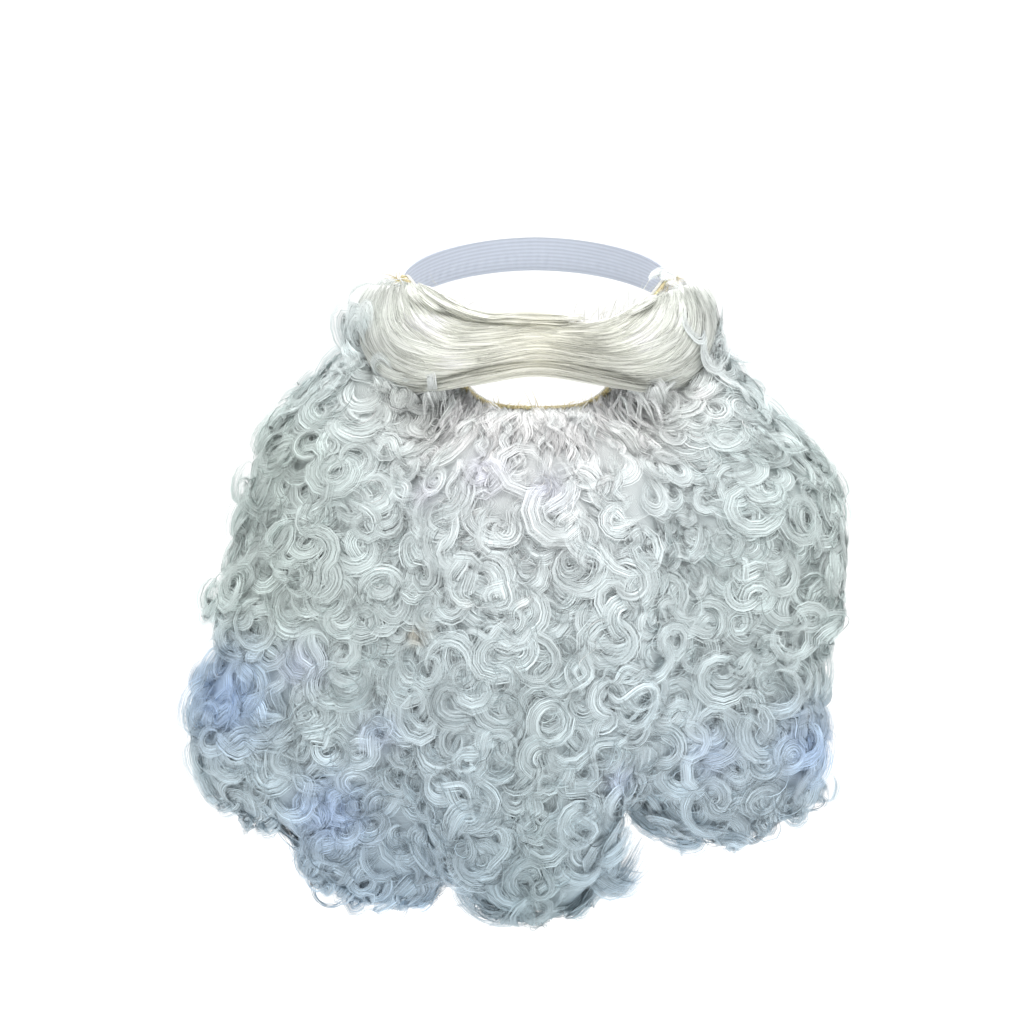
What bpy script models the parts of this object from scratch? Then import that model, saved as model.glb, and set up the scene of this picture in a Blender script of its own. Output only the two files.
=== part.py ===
"""A full false beard with its moustache, in the form it has when it is worn.

Metres, +Z up. The front looks along -Y and +X is on the viewer's right. The origin lies on the upper lip,
under the nose, where the moustache band rests.
"""

import math

import bmesh
import bpy
from mathutils import Vector

# Face that the beard is shaped to
HEAD_WIDTH = 0.155
HEAD_DEPTH = 0.190
CHIN_DROP = 0.085

# Cloth base, from the upper lip: how far it rises at the ears and how far it drops
SIDEBURN_RISE = 0.033
SIDEBURN_HEIGHT = 0.026
MOUTH_DROP = 0.047
BASE_DROP = 0.118
BASE_ANGLE = math.radians(84)
CLOTH = 0.0018

# Sewn edging
WEFT_WIDTH = 0.0026
EDGE_REACH = 0.98

# Moustache
BAND_ANGLE = math.radians(54)
BAND_HEIGHT = 0.011
BAND_CLOTH = 0.0012
MOUSTACHE_ANGLE = math.radians(76)
MOUSTACHE_SPREAD = 0.017
MOUSTACHE_BACK = 0.002
MOUSTACHE_HEIGHT = 0.046
MOUSTACHE_PUFF = 0.024
MOUSTACHE_STRIPS = 5
MOUSTACHE_GROOVE = 0.16

# Beard hair
BEARD_DROP = 0.334
FRONT_PUFF = 0.054
SIDE_PUFF = 0.114
LOCK_WIDTH = 0.021
CURL_DIAMETER = 0.025
LOCK_PITCH = 0.037
LOCK_DROP = 0.035
LOCK_START = 0.066
LOCK_FAN = 0.6
LOCK_FALLS = 3
LOCK_TURNS = 6
LOCK_SWEEP = 290
LOCK_SWAY = 0.4
LOCK_SINK = 0.25
LOCK_LIFT = 0.35
LOCK_TAPER = 0.6
CURL_TAPER = 0.4

# Elastic strap
STRAP_WIDTH = 0.020
STRAP_CLOTH = 0.0012
STRAP_RISE = 0.054
STRAP_LAP = math.radians(7)
STRAP_BULGE = 0.004
STRAP_LEAN = 0.005

# Clearances
GAP = 0.0003
HAIR_GAP = 0.0008
MERGE = 0.00001

# Face outline by height: level as a share of CHIN_DROP, half width as a share of half HEAD_WIDTH,
# set back and reach (front to widest) as shares of HEAD_DEPTH
FACE_COLUMNS = ("level", "half_width", "set_back", "reach")
FACE_SECTIONS = (
    (1.30, 1.00, 0.036, 0.480),
    (0.60, 1.00, 0.028, 0.485),
    (0.35, 0.97, 0.018, 0.480),
    (0.00, 0.91, 0.000, 0.455),
    (-0.42, 0.85, -0.008, 0.420),
    (-0.72, 0.79, 0.006, 0.390),
    (-0.88, 0.76, 0.026, 0.365),
    (-1.00, 0.75, 0.050, 0.345),
    (-1.45, 0.75, 0.100, 0.330),
    (-2.20, 0.75, 0.150, 0.320),
    (-5.00, 0.75, 0.170, 0.320),
)

# Edges of the cloth by the way round, 0 in the middle and 1 at the ear: the top as a share of the climb from
# under the mouth to the sideburn, the bottom as a share of the climb from the lowest point to the sideburn
EDGE_COLUMNS = ("around", "top", "bottom")
EDGE_SECTIONS = (
    (0.00, 0.000, 0.000),
    (0.25, 0.025, 0.015),
    (0.40, 0.120, 0.050),
    (0.48, 0.250, 0.075),
    (0.55, 0.450, 0.110),
    (0.62, 0.660, 0.160),
    (0.72, 0.810, 0.260),
    (0.84, 0.920, 0.460),
    (0.93, 0.980, 0.750),
    (1.00, 1.000, 1.000),
)

# Upper edge of the moustache band by the way round, as a share of SIDEBURN_RISE
BAND_COLUMNS = ("around", "top", "lift")
BAND_SECTIONS = (
    (0.00, -0.03, 0.0),
    (0.50, -0.06, 0.0),
    (0.66, 0.04, 0.4),
    (0.78, 0.16, 1.0),
    (1.00, 0.40, 1.0),
)

# Moustache by the way out from the middle as a share of MOUSTACHE_ANGLE: top and bottom as shares of
# MOUSTACHE_HEIGHT, puff as a share of MOUSTACHE_PUFF, stand off the cheek as a share of MOUSTACHE_SPREAD
WING_COLUMNS = ("along", "top", "bottom", "puff", "stand")
WING_SECTIONS = (
    (0.00, -0.06, -0.54, 0.62, 0.00),
    (0.17, -0.05, -0.57, 0.84, 0.00),
    (0.33, 0.01, -0.64, 1.00, 0.00),
    (0.50, 0.18, -0.75, 1.08, 0.00),
    (0.66, 0.38, -0.82, 1.08, 0.04),
    (0.79, 0.53, -0.78, 1.00, 0.30),
    (0.89, 0.60, -0.56, 0.80, 0.60),
    (0.96, 0.58, -0.20, 0.48, 0.88),
    (1.00, 0.50, 0.18, 0.14, 1.00),
)

# Backing of the beard hair. Each mass has a row per height: level as a share of SIDEBURN_RISE above the lip
# and of BEARD_DROP below it. The side masses have their outer edge as a share of SIDE_PUFF beyond half
# HEAD_WIDTH, their inner edge as a share of half HEAD_WIDTH, front and back as shares of HEAD_DEPTH.
SIDE_COLUMNS = ("level", "outer", "inner", "front", "back")
LEFT_SECTIONS = (
    (0.86, 0.06, 0.80, 0.290, 0.455),
    (0.36, 0.15, 0.75, 0.230, 0.475),
    (-0.03, 0.27, 0.67, 0.165, 0.485),
    (-0.11, 0.50, 0.57, 0.095, 0.490),
    (-0.22, 0.70, 0.39, -0.030, 0.490),
    (-0.33, 0.77, 0.26, -0.095, 0.455),
    (-0.44, 0.88, 0.18, -0.130, 0.425),
    (-0.54, 0.86, 0.16, -0.150, 0.395),
    (-0.64, 1.00, 0.16, -0.155, 0.360),
    (-0.73, 1.01, 0.20, -0.145, 0.330),
    (-0.80, 0.88, 0.34, -0.120, 0.300),
    (-0.86, 0.53, 0.52, -0.080, 0.250),
    (-0.92, 0.37, 0.68, -0.030, 0.200),
    (-0.965, 0.18, 0.88, 0.030, 0.130),
)
RIGHT_SECTIONS = (
    (0.90, 0.05, 0.80, 0.290, 0.455),
    (0.40, 0.14, 0.75, 0.230, 0.475),
    (-0.02, 0.19, 0.67, 0.165, 0.485),
    (-0.09, 0.34, 0.59, 0.110, 0.490),
    (-0.15, 0.47, 0.52, 0.060, 0.490),
    (-0.23, 0.70, 0.41, -0.030, 0.490),
    (-0.33, 0.85, 0.28, -0.095, 0.455),
    (-0.44, 0.84, 0.23, -0.130, 0.425),
    (-0.51, 0.69, 0.23, -0.145, 0.405),
    (-0.67, 0.71, 0.32, -0.150, 0.350),
    (-0.76, 0.69, 0.60, -0.130, 0.310),
    (-0.81, 0.49, 0.78, -0.090, 0.270),
    (-0.855, 0.26, 0.90, -0.040, 0.210),
)
# The middle mass has its left and right edges as shares of half HEAD_WIDTH, its front as a share of
# FRONT_PUFF and its back as a share of HEAD_DEPTH.
MIDDLE_COLUMNS = ("level", "left", "right", "front", "back")
MIDDLE_SECTIONS = (
    (-0.150, 0.52, 0.52, 0.24, 0.100),
    (-0.19, 0.76, 0.76, 0.50, 0.190),
    (-0.27, 0.96, 0.96, 0.76, 0.240),
    (-0.39, 1.06, 1.06, 0.92, 0.240),
    (-0.52, 1.10, 1.08, 1.00, 0.230),
    (-0.65, 1.08, 0.96, 1.00, 0.210),
    (-0.76, 1.00, 0.64, 0.96, 0.185),
    (-0.86, 0.82, 0.51, 0.85, 0.150),
    (-0.94, 0.57, 0.42, 0.70, 0.105),
    (-0.985, 0.28, 0.22, 0.48, 0.045),
)
MASS_SIDES = 20
MASS_ROUNDNESS = 2.5
HAIR_GRAIN = 0.0036
HAIR_FACES_KEPT = 0.092

# Fineness of the faceted forms
BASE_COLUMNS = 32
BASE_ROWS = 11
EDGE_STEPS = 44
BAND_STEPS = 28
WING_STATIONS = 11
STRAP_STEPS = 48
GUIDE_SIDES = 32
GUIDE_STEP = 0.016

# Colours: red, green, blue, roughness
MATERIALS = {
    "beard_base": (0.80, 0.80, 0.76, 0.90),
    "beard_weft_edge": (0.72, 0.58, 0.30, 0.70),
    "beard_hair": (0.70, 0.76, 0.76, 0.45),
    "moustache_band": (0.80, 0.80, 0.76, 0.90),
    "moustache_weft_edge": (0.72, 0.58, 0.30, 0.70),
    "moustache_hair": (0.82, 0.82, 0.74, 0.38),
    "elastic_strap": (0.72, 0.76, 0.86, 0.80),
}


def clear_scene():
    """Empties the open scene."""
    for item in list(bpy.data.objects):
        bpy.data.objects.remove(item, do_unlink=True)


def new_collection(name):
    """Adds a collection to the scene."""
    group = bpy.data.collections.new(name)
    bpy.context.scene.collection.children.link(group)
    return group


def material_for(name):
    """Makes the plain material of one piece."""
    red, green, blue, roughness = MATERIALS[name]
    material = bpy.data.materials.new(name)
    material.use_nodes = True
    shader = material.node_tree.nodes["Principled BSDF"]
    shader.inputs["Base Color"].default_value = (red, green, blue, 1.0)
    shader.inputs["Roughness"].default_value = roughness
    shader.inputs["Metallic"].default_value = 0.0
    material.diffuse_color = (red, green, blue, 1.0)
    return material


def mesh_object(name, points, faces, group):
    """Makes an object from points and faces, with its normals pointing out."""
    mesh = bpy.data.meshes.new(name)
    mesh.from_pydata([tuple(point) for point in points], [], faces)
    form = bmesh.new()
    form.from_mesh(mesh)
    bmesh.ops.remove_doubles(form, verts=form.verts, dist=MERGE)
    bmesh.ops.recalc_face_normals(form, faces=form.faces)
    form.to_mesh(mesh)
    form.free()
    result = bpy.data.objects.new(name, mesh)
    group.objects.link(result)
    return result


def as_cutter(item):
    """Shows an object as a guide only."""
    item.hide_render = True
    item.display_type = "WIRE"
    return item


def finish(item):
    """Gives a piece its material and smooth shading with sharp rims."""
    item.data.materials.clear()
    item.data.materials.append(material_for(item.name))
    if item.type == "MESH":
        item.data.shade_smooth()
        item.data.set_sharp_from_angle(angle=math.radians(50))


def read_table(rows, columns, key, name):
    """Reads one column at a key by a smooth curve through the rows."""
    at = columns.index(name)
    ordered = sorted((row[0], row[at]) for row in rows)
    places = [place for place, _ in ordered]
    values = [value for _, value in ordered]
    if key <= places[0]:
        return values[0]
    if key >= places[-1]:
        return values[-1]
    span = max(index for index in range(len(places) - 1) if places[index] <= key)
    slopes = []
    for index in (span, span + 1):
        low = max(index - 1, 0)
        high = min(index + 1, len(places) - 1)
        slopes.append((values[high] - values[low]) / (places[high] - places[low]))
    width = places[span + 1] - places[span]
    share = (key - places[span]) / width
    square = share * share
    cube = square * share
    return (
        (2 * cube - 3 * square + 1) * values[span]
        + (cube - 2 * square + share) * width * slopes[0]
        + (3 * square - 2 * cube) * values[span + 1]
        + (cube - square) * width * slopes[1]
    )


def face_section(height):
    """Half width, front, middle and back of the head at a height."""
    level = height / CHIN_DROP
    half_width = read_table(FACE_SECTIONS, FACE_COLUMNS, level, "half_width") * HEAD_WIDTH / 2
    front = read_table(FACE_SECTIONS, FACE_COLUMNS, level, "set_back") * HEAD_DEPTH
    reach = read_table(FACE_SECTIONS, FACE_COLUMNS, level, "reach") * HEAD_DEPTH
    return half_width, front, front + reach, HEAD_DEPTH


def skin_point(angle, height):
    """Point of the face at an angle round from the middle, positive towards +X."""
    half_width, front, middle, back = face_section(height)
    reach = middle - front if math.cos(angle) > 0 else back - middle
    return Vector((half_width * math.sin(angle), middle - reach * math.cos(angle), height))


def face_point(angle, height, out):
    """Point at a distance out from the face, square to it."""
    turn = 0.01
    step = 0.0005
    across = skin_point(angle + turn, height) - skin_point(angle - turn, height)
    up = skin_point(angle, height + step) - skin_point(angle, height - step)
    return skin_point(angle, height) + across.cross(up).normalized() * out


def top_edge(angle):
    """Height of the cloth's upper edge at an angle."""
    around = min(abs(angle) / BASE_ANGLE, 1.0)
    climb = SIDEBURN_RISE + MOUTH_DROP
    return read_table(EDGE_SECTIONS, EDGE_COLUMNS, around, "top") * climb - MOUTH_DROP


def bottom_edge(angle):
    """Height of the cloth's lower edge at an angle."""
    around = min(abs(angle) / BASE_ANGLE, 1.0)
    climb = BASE_DROP + SIDEBURN_RISE - SIDEBURN_HEIGHT
    return read_table(EDGE_SECTIONS, EDGE_COLUMNS, around, "bottom") * climb - BASE_DROP


def open_sheet(name, rows, group):
    """Makes an open surface from rows of points."""
    points = [point for row in rows for point in row]
    width = len(rows[0])
    faces = []
    for row in range(len(rows) - 1):
        for column in range(width - 1):
            corner = row * width + column
            faces.append((corner, corner + 1, corner + width + 1, corner + width))
    mesh = bpy.data.meshes.new(name)
    mesh.from_pydata([tuple(point) for point in points], [], faces)
    result = bpy.data.objects.new(name, mesh)
    group.objects.link(result)
    return result


def thicken(item, thickness):
    """Turns an open surface into a wall on the side that its normals point to."""
    wall = item.modifiers.new("wall", "SOLIDIFY")
    wall.thickness = thickness
    wall.offset = 1.0
    wall.use_even_offset = True
    return item


def closed_loft(name, rings, group):
    """Makes a closed body from rings of points, with a flat cap on each end."""
    points = [point for ring in rings for point in ring]
    sides = len(rings[0])
    faces = []
    for ring in range(len(rings) - 1):
        for side in range(sides):
            corner = ring * sides + side
            after = ring * sides + (side + 1) % sides
            faces.append((corner, after, after + sides))
            faces.append((corner, after + sides, corner + sides))
    faces.append(tuple(range(sides)))
    faces.append(tuple((len(rings) - 1) * sides + side for side in range(sides)))
    return mesh_object(name, points, faces, group)


def tube(name, paths, radii, resolution, group):
    """Makes round tubes along paths, each with a radius per point, as one mesh."""
    curve = bpy.data.curves.new(name, "CURVE")
    curve.dimensions = "3D"
    curve.bevel_depth = 1.0
    curve.bevel_resolution = resolution
    curve.use_fill_caps = True
    for path, thickness in zip(paths, radii):
        spline = curve.splines.new("POLY")
        spline.points.add(len(path) - 1)
        for point, place, radius in zip(spline.points, path, thickness):
            point.co = (*place, 1.0)
            point.radius = radius
    guide = bpy.data.objects.new(name + "_route", curve)
    group.objects.link(guide)
    view = bpy.context.evaluated_depsgraph_get()
    mesh = bpy.data.meshes.new_from_object(guide.evaluated_get(view))
    form = bmesh.new()
    form.from_mesh(mesh)
    bmesh.ops.remove_doubles(form, verts=form.verts, dist=MERGE)
    bmesh.ops.recalc_face_normals(form, faces=form.faces)
    form.to_mesh(mesh)
    form.free()
    bpy.data.objects.remove(guide, do_unlink=True)
    mesh.name = name
    result = bpy.data.objects.new(name, mesh)
    group.objects.link(result)
    return result


def combine(item, other, operation, own_overlaps=False):
    """Joins or cuts an object with another one by a Boolean."""
    step = item.modifiers.new(other.name, "BOOLEAN")
    step.operation = operation
    step.solver = "EXACT"
    step.use_self = own_overlaps
    step.object = other


def settle(item):
    """Turns an object with its modifiers into a plain mesh that holds its largest body alone."""
    view = bpy.context.evaluated_depsgraph_get()
    mesh = bpy.data.meshes.new_from_object(item.evaluated_get(view))
    item.modifiers.clear()
    item.data = mesh
    form = bmesh.new()
    form.from_mesh(mesh)
    bmesh.ops.triangulate(form, faces=form.faces)
    bodies = []
    waiting = set(form.faces)
    while waiting:
        body = set()
        edge = [waiting.pop()]
        while edge:
            face = edge.pop()
            body.add(face)
            for rim in face.edges:
                for neighbour in rim.link_faces:
                    if neighbour in waiting:
                        waiting.remove(neighbour)
                        edge.append(neighbour)
        bodies.append(body)
    bodies.sort(key=len)
    for body in bodies[:-1]:
        bmesh.ops.delete(form, geom=list(body), context="FACES")
    loose = [point for point in form.verts if not point.link_faces]
    bmesh.ops.delete(form, geom=loose, context="VERTS")
    form.to_mesh(mesh)
    form.free()


def make_base(group):
    """Cloth wall of the cheeks and the chin."""
    rows = []
    for level in range(BASE_ROWS + 1):
        row = []
        for column in range(BASE_COLUMNS + 1):
            angle = BASE_ANGLE * (2 * column / BASE_COLUMNS - 1)
            low = bottom_edge(angle)
            height = low + (top_edge(angle) - low) * level / BASE_ROWS
            row.append(skin_point(angle, height))
        rows.append(row)
    return thicken(open_sheet("beard_base", rows, group), CLOTH)


def base_edge_route():
    """Route of the yellow edging along the base."""
    radius = WEFT_WIDTH / 2
    route = []
    for index in range(EDGE_STEPS + 1):
        angle = BASE_ANGLE * (2 * index / EDGE_STEPS - 1) * EDGE_REACH
        route.append(face_point(angle, top_edge(angle) - radius, CLOTH + GAP + radius))
    return route


def make_base_edge(name, grow, group):
    """Yellow edging along the base's upper edge."""
    route = base_edge_route()
    radius = [WEFT_WIDTH / 2 + grow] * len(route)
    return tube(name, [route], [radius], 1, group)


def band_top(angle):
    """Height of the band's upper edge at an angle."""
    around = min(abs(angle) / BAND_ANGLE, 1.0)
    return read_table(BAND_SECTIONS, BAND_COLUMNS, around, "top") * SIDEBURN_RISE


def band_lift(angle):
    """Distance of the band from the face: it climbs over the base and its edging at the cheeks."""
    around = min(abs(angle) / BAND_ANGLE, 1.0)
    lift = min(max(read_table(BAND_SECTIONS, BAND_COLUMNS, around, "lift"), 0.0), 1.0)
    return GAP + lift * (CLOTH + GAP + WEFT_WIDTH + GAP)


def make_band(name, grow, group):
    """Cloth strip across the upper lip."""
    rings = []
    for column in range(BAND_STEPS + 1):
        angle = (BAND_ANGLE + grow / HEAD_WIDTH * 2) * (2 * column / BAND_STEPS - 1)
        top = band_top(angle) + grow
        bottom = band_top(angle) - BAND_HEIGHT - grow
        inner = band_lift(angle) - grow
        outer = band_lift(angle) + BAND_CLOTH + grow
        corners = ((bottom, inner), (bottom, outer), (top, outer), (top, inner))
        rings.append([face_point(angle, height, out) for height, out in corners])
    return closed_loft(name, rings, group)


def make_band_edge(name, grow, group):
    """Yellow edging along the band's upper edge."""
    radius = WEFT_WIDTH / 2
    route = []
    for index in range(BAND_STEPS + 1):
        angle = BAND_ANGLE * (2 * index / BAND_STEPS - 1) * EDGE_REACH
        out = band_lift(angle) + BAND_CLOTH + GAP + radius
        route.append(face_point(angle, band_top(angle) - radius, out))
    return tube(name, [route], [[radius + grow] * len(route)], 1, group)


def wing_value(along, name):
    """Reads the moustache table."""
    return read_table(WING_SECTIONS, WING_COLUMNS, along, name)


def wing_ring(along, side, grow):
    """One section across the moustache: flat towards the face, with a ridge for each strip outside."""
    angle = side * (along * MOUSTACHE_ANGLE + (grow / HEAD_WIDTH * 2 if along == 1 else 0.0))
    top = wing_value(along, "top") * MOUSTACHE_HEIGHT + grow
    bottom = wing_value(along, "bottom") * MOUSTACHE_HEIGHT - grow
    puff = wing_value(along, "puff") * MOUSTACHE_PUFF
    stand = band_lift(angle) + BAND_CLOTH + GAP + WEFT_WIDTH + GAP
    stand += max(wing_value(along, "stand"), 0.0) * MOUSTACHE_SPREAD
    middle = (top + bottom) / 2
    half = (top - bottom) / 2
    ring = []
    steps = MOUSTACHE_STRIPS * 3
    for index in range(steps + 1):
        turn = math.pi * index / steps
        ridge = 1.0 - MOUSTACHE_GROOVE * (1 + math.cos(2 * math.pi * index / 3)) / 2
        out = stand + MOUSTACHE_BACK + puff * math.sin(turn) ** 0.7 * ridge + grow
        ring.append(face_point(angle, middle + half * math.cos(turn), out))
    for share in (-1.0, 0.0, 1.0):
        ring.append(face_point(angle, middle + half * share, stand - grow))
    return ring


def make_moustache(name, grow, group):
    """Combed moustache, one body from tip to tip."""
    rings = []
    for index in range(-WING_STATIONS, WING_STATIONS + 1):
        side = -1 if index < 0 else 1
        rings.append(wing_ring(abs(index) / WING_STATIONS, side, grow))
    return closed_loft(name, rings, group)


def strap_heights(angle):
    """Middle height of the strap at an angle round from the front."""
    share = (abs(angle) - BASE_ANGLE) / (math.pi - BASE_ANGLE)
    low = top_edge(BASE_ANGLE - STRAP_LAP) - WEFT_WIDTH - HAIR_GAP - STRAP_WIDTH / 2
    high = STRAP_RISE
    return low + (high - low) * math.sin(math.pi / 2 * min(max(share, 0.0), 1.0)) ** 1.2


def make_strap(name, grow, group):
    """Elastic from sideburn to sideburn round the back of the head."""
    start = BASE_ANGLE - STRAP_LAP - grow / HEAD_WIDTH * 2
    rings = []
    for index in range(STRAP_STEPS + 1):
        angle = start + (2 * math.pi - 2 * start) * index / STRAP_STEPS
        share = min(abs(angle), abs(2 * math.pi - angle))
        free = max(share - BASE_ANGLE, 0.0) / (math.pi - BASE_ANGLE)
        lean = STRAP_LEAN * min(free * 4, 1.0)
        bulge = STRAP_BULGE * math.sin(math.pi * free)
        middle = strap_heights(share)
        inner = CLOTH + GAP + bulge
        ring = []
        for rise, depth in ((-1, 0), (-1, 1), (1, 1), (1, 0)):
            height = middle + rise * (STRAP_WIDTH / 2 + grow)
            out = inner + (1 - rise) * lean / 2 + depth * STRAP_CLOTH + (grow if depth else -grow)
            ring.append(face_point(angle, height, out))
        rings.append(ring)
    return closed_loft(name, rings, group)


def height_of(level):
    """Height of a level given as a share of the rise above the lip or the drop below it."""
    return level * (SIDEBURN_RISE if level > 0 else BEARD_DROP)


def side_mass(rows, side):
    """Rows of one side mass as height, low x, high x, front and back."""
    result = []
    for level, outer, inner, front, back in rows:
        edges = sorted((side * (HEAD_WIDTH / 2 + outer * SIDE_PUFF), side * inner * HEAD_WIDTH / 2))
        result.append((height_of(level), *edges, front * HEAD_DEPTH, back * HEAD_DEPTH))
    return result


def middle_mass():
    """Rows of the middle mass as height, low x, high x, front and back."""
    half = HEAD_WIDTH / 2
    return [
        (height_of(level), -left * half, right * half, -front * FRONT_PUFF, back * HEAD_DEPTH)
        for level, left, right, front, back in MIDDLE_SECTIONS
    ]


def mass_ring(row):
    """One section across a mass, a rounded box seen from above."""
    height, low, high, front, back = row
    ring = []
    for side in range(MASS_SIDES):
        turn = 2 * math.pi * side / MASS_SIDES
        power = 2 / MASS_ROUNDNESS
        across = math.copysign(abs(math.cos(turn)) ** power, math.cos(turn))
        deep = math.copysign(abs(math.sin(turn)) ** power, math.sin(turn))
        x = (low + high) / 2 + (high - low) / 2 * across
        y = (front + back) / 2 + (back - front) / 2 * deep
        ring.append(Vector((x, y, height)))
    return ring


def mass_at(mass, height):
    """Section of a mass at a height, or None past its ends."""
    if height > mass[0][0] or height < mass[-1][0]:
        return None
    columns = ("height", "low", "high", "front", "back")
    return [read_table(mass, columns, height, name) for name in columns[1:]]


def surface_y(masses, x, height, face):
    """Depth of the masses' front (face -1) or back (face 1) at a place seen from the front."""
    found = None
    for mass in masses:
        section = mass_at(mass, height)
        if section is None:
            continue
        low, high, front, back = section
        share = abs(2 * x - low - high) / (high - low)
        if share > 0.96:
            continue
        deep = (1 - share ** MASS_ROUNDNESS) ** (1 / MASS_ROUNDNESS)
        y = (front + back) / 2 + face * (back - front) / 2 * deep
        if found is None or face * y > face * found:
            found = y
    return found


def lock_route(masses, x, height, face, turn, size):
    """Route of one lock: a short wavy fall out of the mass that ends in a round curl on its surface."""
    radius = CURL_DIAMETER / 2 * size
    heading = LOCK_FAN * x / (HEAD_WIDTH / 2 + SIDE_PUFF)
    flat = []
    for index in range(LOCK_FALLS):
        down = LOCK_DROP * 1.2 * index / LOCK_FALLS
        sway = radius * LOCK_SWAY * math.sin(math.pi * 1.5 * index / LOCK_FALLS) * turn
        flat.append((x + math.sin(heading) * down + sway, height - math.cos(heading) * down))
    end_x, end_z = flat[-1]
    centre_x = end_x + turn * radius
    for index in range(1, LOCK_TURNS + 1):
        swing = math.pi + index * math.radians(LOCK_SWEEP / LOCK_TURNS)
        tighter = 1 - CURL_TAPER * index / LOCK_TURNS
        flat.append((centre_x + turn * radius * math.cos(swing) * tighter,
                     end_z + radius * math.sin(swing) * tighter))
    route = []
    depth = surface_y(masses, x, height, face)
    for index, (place_x, place_z) in enumerate(flat):
        here = surface_y(masses, place_x, place_z, face)
        if here is not None:
            depth = here
        rise = LOCK_WIDTH * (LOCK_LIFT * min(index / LOCK_FALLS, 1.0) - LOCK_SINK)
        route.append(Vector((place_x, depth + face * rise, place_z)))
    return route


def lock_roots(masses, face):
    """Staggered places where the locks start."""
    half = HEAD_WIDTH / 2 + SIDE_PUFF
    columns = int(half / LOCK_PITCH) + 1
    rows = int((BEARD_DROP - LOCK_START) / LOCK_DROP) + 1
    margin = CURL_DIAMETER / 2
    for row in range(rows):
        height = -LOCK_START - row * LOCK_DROP
        for column in range(-columns, columns + 1):
            x = (column + 0.5 * (row % 2)) * LOCK_PITCH + margin * 0.3 * math.sin(5.1 * row + 2.3 * column)
            shift = margin * 0.5 * math.sin(3.7 * column + 1.9 * row)
            tests = ((0.0, 0.0), (-margin, 0.0), (margin, 0.0), (0.0, -LOCK_DROP))
            inside = [surface_y(masses, x + dx, height + shift + dz, face) for dx, dz in tests]
            if None in inside:
                continue
            turn = 1 if (row + column) % 2 else -1
            size = 1 + 0.18 * math.sin(2.9 * column + 4.3 * row)
            yield x, height + shift, turn, size


def make_locks(name, masses, group):
    """All locks, front and back, as one overlapping mesh."""
    routes = []
    for x, height, turn, size in lock_roots(masses, -1):
        routes.append(lock_route(masses, x, height, -1, turn, size))
    for x, height, turn, size in lock_roots(masses, 1):
        if height < -BASE_DROP - LOCK_DROP and int(abs(x) / LOCK_PITCH + 0.5) % 2 == 0:
            routes.append(lock_route(masses, x, height, 1, -turn, size))
    radii = []
    for route in routes:
        last = len(route) - 1
        radii.append([LOCK_WIDTH / 2 * (1 - LOCK_TAPER * index / last) for index in range(last + 1)])
    return tube(name, routes, radii, 1, group)


def make_face_guide(name, group):
    """Closed body of the face, head and neck with the cloth on it, which the hair stays clear of."""
    top = FACE_SECTIONS[0][0] * CHIN_DROP
    bottom = -BEARD_DROP * 1.1
    count = int((top - bottom) / GUIDE_STEP)
    out = CLOTH + HAIR_GAP
    rings = []
    for index in range(count + 1):
        height = bottom + (top - bottom) * index / count
        turns = [2 * math.pi * side / GUIDE_SIDES for side in range(GUIDE_SIDES)]
        rings.append([face_point(turn, height, out) for turn in turns])
    return closed_loft(name, rings, group)


def make_beard_hair(group, guides):
    """Curly hair: three masses and their locks in one body, cut to the pieces that it lies on."""
    masses = (side_mass(LEFT_SECTIONS, -1), middle_mass(), side_mass(RIGHT_SECTIONS, 1))
    hair = closed_loft("beard_hair", [mass_ring(row) for row in masses[1]], group)
    for name, mass in (("hair_mass_left", masses[0]), ("hair_mass_right", masses[2])):
        combine(hair, as_cutter(closed_loft(name, [mass_ring(row) for row in mass], guides)), "UNION")
    combine(hair, as_cutter(make_locks("hair_locks", masses, guides)), "UNION", own_overlaps=True)
    whole = hair.modifiers.new("one_skin", "REMESH")
    whole.mode = "VOXEL"
    whole.voxel_size = HAIR_GRAIN
    thin = hair.modifiers.new("fewer_faces", "DECIMATE")
    thin.ratio = HAIR_FACES_KEPT
    cutters = (
        make_face_guide("face_guide", guides),
        make_base_edge("base_edge_room", HAIR_GAP, guides),
        make_band("band_room", HAIR_GAP, guides),
        make_moustache("moustache_room", HAIR_GAP, guides),
        make_strap("strap_room", HAIR_GAP, guides),
    )
    for cutter in cutters:
        combine(hair, as_cutter(cutter), "DIFFERENCE")
    settle(hair)
    return hair


def main():
    """Builds every piece."""
    clear_scene()
    parts = new_collection("fake_beard")
    guides = new_collection("cutters")
    pieces = (
        make_base(parts),
        make_base_edge("beard_weft_edge", 0.0, parts),
        make_band("moustache_band", 0.0, parts),
        make_band_edge("moustache_weft_edge", 0.0, parts),
        make_moustache("moustache_hair", 0.0, parts),
        make_strap("elastic_strap", 0.0, parts),
        make_beard_hair(parts, guides),
    )
    for piece in pieces:
        finish(piece)


main()
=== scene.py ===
"""Looks of a full curly false beard with a combed moustache, worn, seen from the front.

Metres, +Z up. The front looks along -Y and +X is on the viewer's right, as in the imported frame.
"""

import logging
import math
from dataclasses import dataclass
from enum import Enum
from typing import Any, Callable, Sequence

import bmesh
import bpy
import numpy as np
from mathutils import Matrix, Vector
from mathutils.bvhtree import BVHTree


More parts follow.
